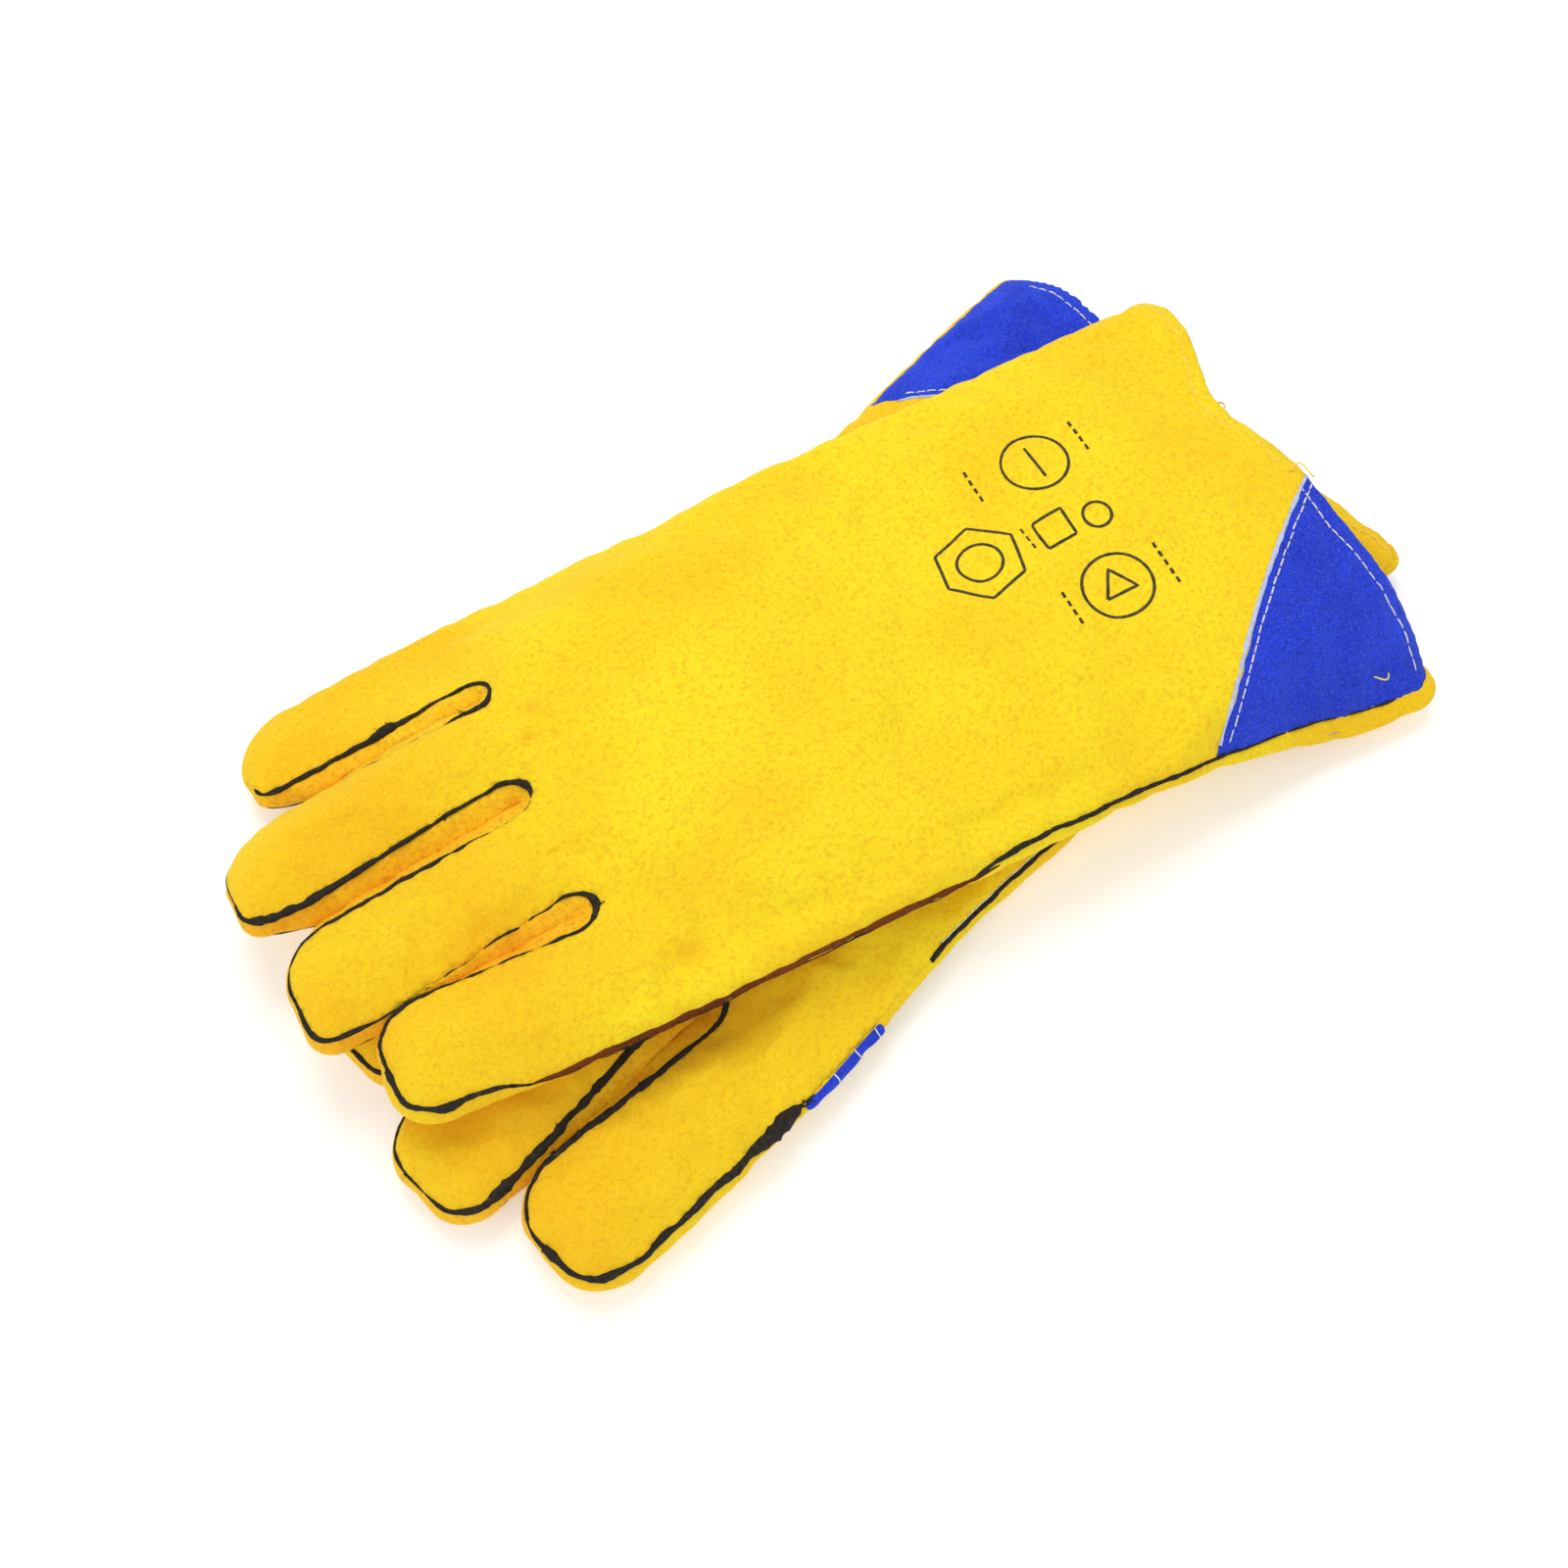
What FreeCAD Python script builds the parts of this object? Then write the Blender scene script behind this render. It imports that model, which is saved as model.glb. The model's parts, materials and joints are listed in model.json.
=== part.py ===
import FreeCAD, Part
import math
import os

# A pair of lined leather gauntlets, one lying on the other.  The left glove lies palm up on the
# ground with its fingers toward -X.  The right glove lies across it, back up, and its sides hang
# down past the long edges of the left one.  Both thumbs are folded flat under their own hands.
# Lengths are millimetres.  u runs from the cuff edge toward the fingertips, v toward the thumb side.

V = FreeCAD.Vector

CELLS = [
    ("cuff_half_width", 81.0),
    ("crotch_from_cuff", 258.0),
    ("finger_pitch", 37.4),
    ("finger_width", 35.0),
    ("tip_radius", 14.0),
    ("tip_little", 332.0),
    ("tip_ring", 352.0),
    ("tip_middle", 355.0),
    ("tip_index", 338.0),
    ("glove_thickness", 20.0),
    ("leather", 1.4),
    ("lining", 1.2),
    ("welt_width", 1.8),
    ("welt_stand", 0.6),
    ("lining_change", 118.0),
    ("lining_inset", 6.0),
    ("patch_apex", 7.0),
    ("patch_side", 72.0),
    ("stitch_length", 3.4),
    ("stitch_pitch", 5.2),
    ("stitch_width", 0.9),
    ("stitch_height", 0.4),
    ("hem_inset", 6.5),
    ("row_end_inset", 3.0),
    ("patch_row_near", 4.0),
    ("patch_row_far", 7.0),
    ("patch_hem_start", 10.0),
    ("patch_row_share", 0.86),
    ("stack_height", 21.0),
    ("stack_turn", -18.0),
    ("left_cuff_along", 167.98),
    ("left_cuff_across", -6.96),
    ("right_cuff_along", 161.98),
    ("right_cuff_across", -45.96),
    ("drape_start", 84.0),
    ("drape_end", 114.0),
    ("thumb_pivot_u", 196.0),
    ("thumb_pivot_v", 51.0),
    ("thumb_length", 82.0),
    ("thumb_width", 42.0),
    ("thumb_thickness", 8.0),
    ("thumb_skin", 1.2),
    ("thumb_fold", 8.0),
    ("thumb_clear", 0.3),
    ("thumb_base_trim", 4.0),
    ("thumb_leather_share", 0.4),
    ("thumb_welt_share", 0.2),
    ("recess_front", 286.0),
    ("recess_rear", 166.0),
    ("recess_inner", 13.0),
    ("strap_start", 206.0),
    ("strap_length", 40.0),
    ("strap_height", 7.0),
    ("strap_thickness", 1.2),
    ("strap_rise", 0.6),
    ("strap_seat", 0.02),
]

os.makedirs("parts", exist_ok=True)
doc = FreeCAD.newDocument("welding_gloves")
sheet = doc.addObject("Spreadsheet::Sheet", "Sizes")
for row, (alias, value) in enumerate(CELLS, start=1):
    sheet.set("A%d" % row, alias)
    sheet.set("B%d" % row, str(value))
    sheet.setAlias("B%d" % row, alias)
doc.recompute()


def size(alias):
    return float(sheet.get(alias))


def bind(obj, prop, formula):
    """Ties a property to the sheet; {name} in the formula stands for the cell of that alias."""
    words = {alias: "Sizes." + alias for alias, _ in CELLS}
    obj.setExpression(prop, formula.format(**words))


exported = []


def deliver(obj, label):
    obj.Label = label
    exported.append(obj)
    return obj


LEATHER = size("leather")
LINING = size("lining")
THICK = size("glove_thickness")
CROTCH = size("crotch_from_cuff")
PITCH = size("finger_pitch")
TALL = 200.0        # taller than the whole stack
FAR = 400.0         # past the fingertips
WIDE = 150.0        # past both long sides
PATCH_WIDE = 90.0   # past the side that a corner patch reaches
MARGIN = 1.0        # how far a cutting shape stands out of what it cuts
FINGERS = ["little", "ring", "middle", "index"]
FINGER_V = {name: (rank - 1.5) * PITCH for rank, name in enumerate(FINGERS)}
GAPS = list(zip(FINGERS[:-1], FINGERS[1:]))
RECESS_HEIGHT = size("thumb_thickness") + 2.0 * size("thumb_clear")


# ---------------------------------------------------------------- flat outlines, in the glove's plan

def plan(u, v):
    """A point of the glove's plan: the cuff edge is x = 0, the fingers point to -X."""
    return V(-u, -v, 0.0)


def polygon(points):
    corners = [plan(u, v) for u, v in points]
    return Part.Face(Part.makePolygon(corners + corners[:1]))


def finger_edges(name):
    """One finger's outline from crotch to crotch, thumb side first; the tip's corners are round."""
    half, r, tip = 0.5 * size("finger_width"), size("tip_radius"), size("tip_" + name)
    bend = r * math.sqrt(0.5)
    high, low = FINGER_V[name] + half, FINGER_V[name] - half
    corners = [Part.Arc(plan(tip - r, edge), plan(tip - r + bend, edge - sign * (r - bend)),
                        plan(tip, edge - sign * r)).toShape() for edge, sign in ((high, 1), (low, -1))]
    return [Part.makeLine(plan(CROTCH, high), plan(tip - r, high)), corners[0],
            Part.makeLine(plan(tip, high - r), plan(tip, low + r)), corners[1],
            Part.makeLine(plan(tip - r, low), plan(CROTCH, low))]


def glove_face(beyond):
    """The whole outline; it runs the given length past the cuff edge."""
    half, cuff = 0.5 * size("finger_width"), size("cuff_half_width")
    knuckles = 1.5 * PITCH + half
    edges = [Part.makeLine(plan(-beyond, -cuff), plan(-beyond, cuff)),
             Part.makeLine(plan(-beyond, cuff), plan(0.0, cuff)),
             Part.makeLine(plan(0.0, cuff), plan(CROTCH, knuckles))]
    for name in reversed(FINGERS):
        edges += finger_edges(name)
        if name != "little":
            v = FINGER_V[name] - half
            edges.append(Part.makeLine(plan(CROTCH, v), plan(CROTCH, v - PITCH + 2.0 * half)))
    edges += [Part.makeLine(plan(CROTCH, -knuckles), plan(0.0, -cuff)),
              Part.makeLine(plan(0.0, -cuff), plan(-beyond, -cuff))]
    return Part.Face(Part.Wire(edges))


LONG_OUTLINE = glove_face(beyond=30.0)
CUFF_TRIM = polygon([(0.0, WIDE), (FAR, WIDE), (FAR, -WIDE), (0.0, -WIDE)])


def inset(distance):
    """The outline moved inward all round, except at the open cuff."""
    face = LONG_OUTLINE if distance == 0.0 else LONG_OUTLINE.makeOffset2D(-distance)
    return face.common(CUFF_TRIM)


def border(width):
    """The edge of the outline, open at the cuff."""
    return inset(0.0).cut(inset(width))


def between(u_low, u_high, v_low, v_high):
    return polygon([(u_low, v_low), (u_high, v_low), (u_high, v_high), (u_low, v_high)])


def gap_zone(pair, width):
    """The strip of plan from one finger's middle to the next one's, up to the crotch."""
    return between(CROTCH - width, FAR, FINGER_V[pair[0]], FINGER_V[pair[1]])


RADIAL_ZONE = between(0.0, FAR, FINGER_V["index"], WIDE)
ULNAR_ZONE = between(0.0, FAR, -WIDE, FINGER_V["little"])
PATCH = {"back": polygon([(-MARGIN, size("patch_apex")), (size("patch_side"), PATCH_WIDE),
                          (-MARGIN, PATCH_WIDE)]),
         "palm": polygon([(-MARGIN, -size("patch_apex")), (-MARGIN, -PATCH_WIDE),
                          (size("patch_side"), -PATCH_WIDE)])}


def stitch_row(start, end):
    """Short bars of thread along a straight line of the plan."""
    du, dv = end[0] - start[0], end[1] - start[1]
    length = math.hypot(du, dv)
    du, dv = du / length, dv / length
    half = 0.5 * size("stitch_width")
    bars = []
    for i in range(int(length / size("stitch_pitch"))):
        a = i * size("stitch_pitch")
        b = a + size("stitch_length")
        bars.append(polygon([(start[0] + a * du - half * dv, start[1] + a * dv + half * du),
                             (start[0] + b * du - half * dv, start[1] + b * dv + half * du),
                             (start[0] + b * du + half * dv, start[1] + b * dv - half * du),
                             (start[0] + a * du + half * dv, start[1] + a * dv - half * du)]))
    return bars


# ---------------------------------------------------------------- one glove

class Glove:
    """Cuts the layers of one glove: plan outlines give the shape, heights give the layer."""

    def __init__(self, side, top, bottom, along, across, turn, stack):
        self.side, self.top, self.bottom = side, top, bottom
        self.place = FreeCAD.Placement(V(along, across, 0.0), FreeCAD.Rotation(V(0, 0, 1), turn))
        self.stack = stack

    def profile(self, low, high):
        """The layer between two heights: flat, or hanging down beyond the glove underneath."""
        mid = size("left_cuff_across")
        near, far = size("drape_start"), size("drape_end")
        hump = [(-FAR, 0.0), (-far, 0.0), (-near, self.stack), (near, self.stack), (far, 0.0), (FAR, 0.0)]
        under = [V(-FAR, mid + y, rise + low) for y, rise in hump]
        over = [V(-FAR, mid + y, rise + high) for y, rise in reversed(hump)]
        section = Part.Face(Part.makePolygon(under + over + under[:1]))
        return section.extrude(V(2.0 * FAR, 0.0, 0.0)).removeSplitter()

    def prism(self, face):
        """The tall straight column over a plan outline, in its place."""
        column = face.extrude(V(0.0, 0.0, TALL))
        column.translate(V(0.0, 0.0, -0.5 * TALL))
        column.Placement = self.place.multiply(column.Placement)
        return column

    def layer(self, face, low, high):
        return self.prism(face).common(self.profile(low, high))

    def recess(self, grow):
        """The room for the folded thumb, grown by the thickness of what lines it."""
        room = between(size("recess_rear") - grow, size("recess_front") + grow,
                       size("recess_inner") - grow, WIDE)
        return self.layer(room, -MARGIN, RECESS_HEIGHT + grow)

    def add(self, name, shape):
        """Files a finished piece under its name."""
        solids = shape.Solids
        piece = solids[0] if len(solids) == 1 else Part.makeCompound(solids)
        obj = doc.addObject("Part::Feature", self.side + "_" + name)
        obj.Shape = piece.removeSplitter() if len(solids) == 1 else piece
        return deliver(obj, self.side + "_" + name)


def welt_shapes(glove, face, low, high):
    """Welts of one face of the glove: one round each finger gap."""
    shapes = {}
    edge = border(size("welt_width"))
    for pair in GAPS:
        strip = edge.common(gap_zone(pair, size("welt_width")))
        shapes["%s_welt_%s_%s" % ((face,) + pair)] = glove.layer(strip, low, high)
    if face == "palm":
        shapes["palm_welt_index_side"] = glove.layer(edge.common(RADIAL_ZONE), low, high)
        shapes["palm_welt_index_side"] = shapes["palm_welt_index_side"].cut(
            glove.layer(PATCH["back"], -MARGIN, THICK + MARGIN))
    return shapes


def build_glove(glove):
    """Every sewn piece of one hand and cuff."""
    top_welts = welt_shapes(glove, glove.top, THICK - LEATHER, THICK + size("welt_stand"))
    low_welts = welt_shapes(glove, glove.bottom, 0.0, LEATHER)
    outer_recess, inner_recess = glove.recess(LEATHER), glove.recess(0.0)
    low_welts = {name: shape.cut(outer_recess) for name, shape in low_welts.items()}

    # The two large panels.  The lower one is raised over the folded thumb.
    panels = {glove.top: glove.layer(inset(0.0), THICK - LEATHER, THICK),
              glove.bottom: glove.layer(inset(0.0), 0.0, LEATHER)}
    room = glove.prism(inset(0.0)).common(outer_recess).cut(inner_recess)
    floor_level = glove.layer(inset(0.0), 0.0, THICK)
    panels[glove.bottom] = panels[glove.bottom].cut(outer_recess).fuse(room.common(floor_level))

    # The back leather rolls over both long sides and meets the palm there.
    rolled = border(LEATHER).common(RADIAL_ZONE.fuse(ULNAR_ZONE))
    side_walls = glove.layer(rolled, LEATHER, THICK - LEATHER).cut(outer_recess)
    panels["back"] = panels["back"].fuse(side_walls)
    for welts in (top_welts, low_welts):
        for name, shape in welts.items():
            panels[name.split("_")[0]] = panels[name.split("_")[0]].cut(shape)

    # Corner patches of the cuff take the place of the leather there.
    for face in ("back", "palm"):
        low, high = (THICK - LEATHER, THICK) if face == glove.top else (0.0, LEATHER)
        corner = glove.layer(PATCH[face], low, high)
        patch = glove.layer(inset(0.0), low, high).common(corner)
        for welts in (top_welts, low_welts):
            for name, shape in welts.items():
                if name.endswith("index_side"):
                    patch = patch.cut(shape)
        glove.add(face + "_corner_patch", patch)
        panels[face] = panels[face].cut(corner)
        glove.add(face + "_leather", panels[face])

    for welts in (top_welts, low_welts):
        for name, shape in welts.items():
            glove.add(name, shape)

    # Strips between the fingers.
    wall = border(LEATHER)
    for pair in GAPS:
        strip = glove.layer(wall.common(gap_zone(pair, LEATHER)), LEATHER, THICK - LEATHER)
        glove.add("forchette_%s_%s" % pair, strip.cut(outer_recess))

    # Linings: a fleece sock in the hand, a cloth sleeve in the cuff.
    hand_zone = between(size("lining_change"), FAR, -WIDE, WIDE)
    cuff_zone = between(size("lining_inset"), size("lining_change"), -WIDE, WIDE)
    lined_recess = glove.recess(LEATHER + LINING)
    for name, zone in (("hand_lining", hand_zone), ("cuff_lining", cuff_zone)):
        outside = glove.layer(inset(LEATHER).common(zone), LEATHER, THICK - LEATHER)
        inside = glove.layer(inset(LEATHER + LINING).common(CUFF_TRIM),
                             LEATHER + LINING, THICK - LEATHER - LINING).cut(lined_recess)
        glove.add(name, outside.cut(outer_recess).cut(inside))

    # Threads: a row along the cuff edge, a double row beside the patch on the upper face.
    top_patch_side = 1.0 if glove.top == "back" else -1.0
    apex, reach = size("patch_apex"), size("patch_side")
    edge_v = size("cuff_half_width") - size("row_end_inset")
    threads = stitch_row((size("hem_inset"), -top_patch_side * edge_v),
                         (size("hem_inset"), top_patch_side * (apex - size("patch_row_near"))))
    glove.add("cuff_hem_stitching", glove.layer(Part.makeCompound(threads), THICK,
                                                THICK + size("stitch_height")))
    lean = (PATCH_WIDE - apex) / (reach + MARGIN)
    rows = stitch_row((size("hem_inset"), top_patch_side * (apex + size("patch_hem_start"))),
                      (size("hem_inset"), top_patch_side * edge_v))
    for shift in (size("patch_row_near"), size("patch_row_far")):
        first, last = size("hem_inset"), size("patch_row_share") * reach - shift
        rows += stitch_row((first, top_patch_side * (apex + lean * (first + MARGIN) + shift)),
                           (last, top_patch_side * (apex + lean * (last + MARGIN) + shift)))
    glove.add("patch_stitching", glove.layer(Part.makeCompound(rows), THICK,
                                             THICK + size("stitch_height")))


left = Glove("left", "palm", "back", size("left_cuff_along"), size("left_cuff_across"), 0.0, 0.0)
right = Glove("right", "back", "palm", size("right_cuff_along"), size("right_cuff_across"),
              size("stack_turn"), size("stack_height"))
for glove in (left, right):
    build_glove(glove)


# ---------------------------------------------------------------- thumbs, drawn along their own +X

def thumb_sketch(body, name, wall):
    """A thumb outline moved in by a wall: straight sides, a half-round tip, a square base.
    The inside outline runs out past the base, so a hollowed piece is open there."""
    sketch = body.newObject("Sketcher::SketchObject", name)
    origin = [f for f in body.Origin.OriginFeatures if f.Role == "XY_Plane"][0]
    sketch.AttachmentSupport = [(origin, "")]
    sketch.MapMode = "FlatFace"
    half = 0.5 * size("thumb_width") - wall
    base = -0.5 * size("thumb_width") + (0.0 if wall else size("thumb_base_trim"))
    reach = size("thumb_length") - 0.5 * size("thumb_width")
    sides = [(V(base, -half, 0), V(reach, -half, 0)),
             (V(reach, half, 0), V(base, half, 0)),
             (V(base, half, 0), V(base, -half, 0))]
    for a, b in sides:
        sketch.addGeometry(Part.LineSegment(a, b), False)
    circle = Part.Circle(V(reach, 0, 0), V(0, 0, 1), half)
    sketch.addGeometry(Part.ArcOfCircle(circle, -0.5 * math.pi, 0.5 * math.pi), False)
    return sketch


def thumb_shell(side, name, share, floor, spot, level):
    """A tray shape: a pad of the outline, hollowed on one side, or right through for the welt."""
    height = "{%s} * {thumb_thickness}" % share
    body = doc.addObject("PartDesign::Body", side + "_" + name)
    pad = body.newObject("PartDesign::Pad", side + "_" + name + "_pad")
    pad.Profile = thumb_sketch(body, side + "_" + name + "_outline", 0.0)
    bind(pad, "Length", height)
    doc.recompute()
    solid_volume = pad.Shape.Volume
    pocket = body.newObject("PartDesign::Pocket", side + "_" + name + "_pocket")
    pocket.Profile = thumb_sketch(body, side + "_" + name + "_inside", size("thumb_skin"))
    pocket.Reversed = True
    bind(pocket, "Length", height + " - " + floor)
    if floor != "0":
        bind(pocket.Profile[0], ".AttachmentOffset.Base.z", floor if name.endswith("under") else "0")
    doc.recompute()
    assert body.Shape.Volume < 0.9 * solid_volume, name + " was not hollowed"
    body.Placement = spot.multiply(FreeCAD.Placement(V(0, 0, level), FreeCAD.Rotation()))
    return deliver(body, side + "_" + name)


for glove in (left, right):
    pivot = plan(size("thumb_pivot_u"), size("thumb_pivot_v"))
    turn = FreeCAD.Rotation(V(0, 0, 1), 180.0 - size("thumb_fold"))
    spot = glove.place.multiply(FreeCAD.Placement(pivot, turn))
    spot.Base.z = glove.stack
    level = size("thumb_clear")
    for name, share, floor in (("thumb_leather_under", "thumb_leather_share", "{thumb_skin}"),
                               ("thumb_welt", "thumb_welt_share", "0"),
                               ("thumb_leather_over", "thumb_leather_share", "{thumb_skin}")):
        thumb_shell(glove.side, name, share, floor, spot, level)
        level += size(share) * size("thumb_thickness")

    # The reinforcing strap on the side of the hand, over the thumb crotch.
    strap = doc.addObject("Part::Box", glove.side + "_thumb_strap")
    bind(strap, "Length", "{strap_length}")
    bind(strap, "Width", "{strap_thickness}")
    bind(strap, "Height", "{strap_height}")
    slope = (size("cuff_half_width") - 1.5 * PITCH - 0.5 * size("finger_width")) / CROTCH
    u_far = size("strap_start") + size("strap_length")
    v_far = size("cuff_half_width") - slope * u_far
    corner = plan(u_far, v_far + size("strap_thickness") + size("strap_seat"))
    along_side = FreeCAD.Rotation(V(0, 0, 1), -math.degrees(math.atan(slope)))
    strap.Placement = glove.place.multiply(FreeCAD.Placement(corner, along_side))
    strap.Placement.Base.z = glove.stack + RECESS_HEIGHT + LEATHER + size("strap_rise")
    deliver(strap, glove.side + "_thumb_strap")


# ---------------------------------------------------------------- check and write

doc.recompute()
for obj in doc.Objects:
    bad = [word for word in obj.State if word in ("Invalid", "Error")]
    assert not bad, "%s is %s" % (obj.Label, bad)
for obj in exported:
    assert not obj.Shape.isNull() and obj.Shape.isValid(), obj.Label + " has no valid shape"
    assert obj.Shape.Solids, obj.Label + " holds no solid"
    obj.Shape.exportStep("parts/%s.step" % obj.Label)
print(len(exported), "sub-parts written")
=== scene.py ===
import json
import math
from collections import namedtuple

import bpy
import numpy as np
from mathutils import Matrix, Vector, noise
from mathutils.bvhtree import BVHTree
from mathutils.geometry import delaunay_2d_cdt
from mathutils.kdtree import KDTree


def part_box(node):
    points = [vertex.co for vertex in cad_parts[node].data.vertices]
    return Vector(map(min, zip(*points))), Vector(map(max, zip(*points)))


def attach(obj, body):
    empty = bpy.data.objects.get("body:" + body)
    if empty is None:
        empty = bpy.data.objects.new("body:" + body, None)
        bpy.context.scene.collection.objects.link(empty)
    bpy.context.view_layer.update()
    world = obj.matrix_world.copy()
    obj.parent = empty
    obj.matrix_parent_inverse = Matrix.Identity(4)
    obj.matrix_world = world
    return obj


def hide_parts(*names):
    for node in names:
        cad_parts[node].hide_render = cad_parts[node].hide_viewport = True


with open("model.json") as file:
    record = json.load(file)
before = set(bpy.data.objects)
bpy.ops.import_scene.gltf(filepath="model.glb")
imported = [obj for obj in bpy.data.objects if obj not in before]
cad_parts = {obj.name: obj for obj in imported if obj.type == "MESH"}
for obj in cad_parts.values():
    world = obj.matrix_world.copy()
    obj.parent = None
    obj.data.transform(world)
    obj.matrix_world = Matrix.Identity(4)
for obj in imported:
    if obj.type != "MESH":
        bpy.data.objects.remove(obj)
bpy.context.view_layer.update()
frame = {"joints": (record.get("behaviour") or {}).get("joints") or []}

MM = 0.001

# The plan of one glove, in millimetres.  u runs from the cuff edge toward the fingertips and v toward
# the thumb side.  The left glove is palm up and the right one back up, so one mirrors the other.
# The frame gives the pattern: how wide the cuff is, where the crotches and the fingers' middles are and
# how far the longest finger reaches.
FINGERS = ["little", "ring", "middle", "index"]
GAPS = list(zip(FINGERS[:-1], FINGERS[1:]))


def pattern():
    """(half the cuff's width, crotch, finger pitch, reach) from the boxes of the left glove."""
    lo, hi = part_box("left_back_leather")
    gap_lo, gap_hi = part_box("left_back_welt_ring_middle")
    return (0.5 * (hi[1] - lo[1]) / MM, (hi[0] - gap_hi[0]) / MM, (gap_hi[1] - gap_lo[1]) / MM,
            (hi[0] - lo[0]) / MM)


CUFF_HALF, CROTCH, PITCH, REACH = pattern()
FINGER_WIDTH = 35.0

# How the soft fingers lie, against the pattern: how far the edge on the thumb side and the edge on the
# far side have moved at the root and at the tip, how much shorter than the longest finger this one is,
# and the radius of the tip's two corners.
Lie = namedtuple("Lie", "thumb_side far_side short rounds")
LIES = {
    "left": {"index": Lie((-2.5, -3.5), (-1.5, -7.0), 14.5, (14.0, 14.0)),
             "middle": Lie((-12.5, -7.0), (-9.5, -8.5), 1.5, (11.0, 13.0)),
             "ring": Lie((-18.0, -13.0), (-15.0, -12.5), 14.5, (11.0, 12.0)),
             "little": Lie((-22.0, -18.5), (-11.5, -8.5), 35.5, (9.0, 13.0))},
    "right": {"index": Lie((2.5, -2.0), (2.5, -0.5), 21.5, (11.0, 13.0)),
              "middle": Lie((-7.0, 3.5), (-1.5, 4.5), 7.0, (6.0, 15.0)),
              "ring": Lie((-11.0, -1.0), (-1.0, -3.5), 2.5, (6.0, 19.0)),
              "little": Lie((-11.0, -12.5), (-8.5, -3.5), 19.5, (5.0, 18.0))}}
# How far each crotch has moved, from the thumb side on.
SLOT_ENDS = {"left": (-3.5, -0.5, -0.5), "right": (3.5, 5.0, 1.5)}
# The long sides: how far the cuff corner and the waist stand out past the cuff's half width, where the
# waist is and where the knuckles begin.
Side = namedtuple("Side", "cuff waist waist_at knuckles_at")
SIDES = {"left": {"thumb": Side(1.0, -14.0, 186.0, 258.0), "far": Side(5.0, -3.5, 150.0, 262.0)},
         "right": {"thumb": Side(-1.0, -4.0, 50.0, 268.0), "far": Side(-4.0, -6.5, 182.0, 218.0)}}
# The cuff edge: where it lies, then its dents and bows as (depth, middle, width).
CUFF_EDGES = {"left": (-5.0, [(-6.5, -60.0, 24.0), (-3.5, 75.0, 8.0)]),
              "right": (0.0, [(9.0, -28.0, 22.0), (-7.5, 72.0, 20.0)])}
# The sewn edge of a corner patch: where it meets the cuff edge and the side, and how much it sags.
PATCH_START = (-6.0, 4.6)
PATCH_END = (80.0, 80.5)
PATCH_SAG = 4.0
PALM_PATCH_SHARE = 0.86     # the palm's patch reaches less far along the side
LINING_CHANGE = 118.0       # where the fleece of the hand meets the cloth of the cuff
LINING_DEPTH = 2.1          # how far the linings lie behind the leather's face
LINING_MARGIN = 7.5         # how far the lining stops short of the cuff edge
LEATHER = 1.3               # how thick the leather is
SEAM = 12.0                 # what sewing takes off a blank's width and length
THICK = 20.0                # one glove, flat on the ground
STACK = 21.0                # how high the upper glove lies
UPPER_SHIFT = (-6.0, -39.0)     # where it lies against the lower one, along and across
UPPER_TURN = -18.0          # and its turn, in degrees
DROP = (77.0, 39.0)         # how far from the lower glove's middle the upper one sinks, and over what width
RECESS = (166.0, 286.0, 13.0, 8.9)  # where the palm leaves room for the thumb: rear, front, side, height
STRAP = (226.0, 259.0)      # the stretch of the thumb side that the blue strap covers
STITCH = (2.9, 3.6)         # length and pitch of the stitches
THREAD = 0.27               # half as thick as the sewing thread
OVER = 60.0                 # higher than either glove
ABOVE = 90.0                # higher than all that, where rays toward the upper skin start
# Rubbed spots on the upper leather: (u, v, length along u, width).
SCUFFS = {"left": [(226.0, 46.0, 4.5, 1.8), (241.0, 47.0, 4.0, 1.6), (258.0, 40.0, 6.0, 5.0)],
          "right": [(250.0, -28.0, 4.0, 3.0), (255.0, -20.0, 3.0, 2.0), (243.0, 62.0, 5.0, 4.0)]}
# Half the width of the welt round each finger gap, from the thumb-side fingertip round the crotch to the
# other one: (share of the way, millimetres).  Below 0.2 the welt is pressed out of sight.
WELTS = {
    "left": {2: [(0, 0.9), (0.08, 0.8), (0.14, 1.2), (0.2, 1.35), (0.28, 1.2), (0.36, 0.85), (0.43, 0.95),
                 (0.47, 1.7), (0.5, 1.4), (0.55, 1.0), (0.65, 1.3), (0.75, 1.6), (0.85, 1.75), (0.92, 1.0),
                 (0.96, 0.45), (1, 0.45)],
             1: [(0, 0.5), (0.5, 1.1), (1, 0.8)], 0: [(0, 0.8), (0.5, 1.1), (1, 0.8)]},
    "right": {2: [(0, 0.85), (0.05, 1.0), (0.12, 0.85), (0.2, 0.55), (0.3, 0.45), (0.4, 0.7), (0.45, 1.35),
                  (0.48, 0.6), (0.55, 0.45), (0.66, 0.3), (0.75, 0.2), (0.83, 0.55), (0.88, 0.95),
                  (0.94, 1.0), (1, 0.6)],
              1: [(0, 0.55), (0.08, 0.6), (0.15, 0.8), (0.28, 1.0), (0.36, 0.5), (0.4, 0.2), (0.46, 0.25),
                  (0.49, 1.25), (0.52, 1.0), (0.56, 0.55), (0.62, 0.65), (0.75, 1.05), (0.9, 1.35),
                  (0.93, 0.9), (0.96, 0.4), (1, 0.3)],
              0: [(0, 0.35), (0.1, 0.3), (0.14, 0.15), (0.45, 0.15), (0.49, 0.9), (0.52, 1.1), (0.56, 0.7),
                  (0.62, 0.7), (0.71, 0.8), (0.73, 1.1), (0.75, 2.0), (0.775, 1.5), (0.79, 0.8), (0.93, 0.95),
                  (0.975, 0.9), (0.985, 0.2), (1, 0.15)]}}
UNDER_WELT = 0.55           # half the width of the welts on the lower skin
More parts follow.
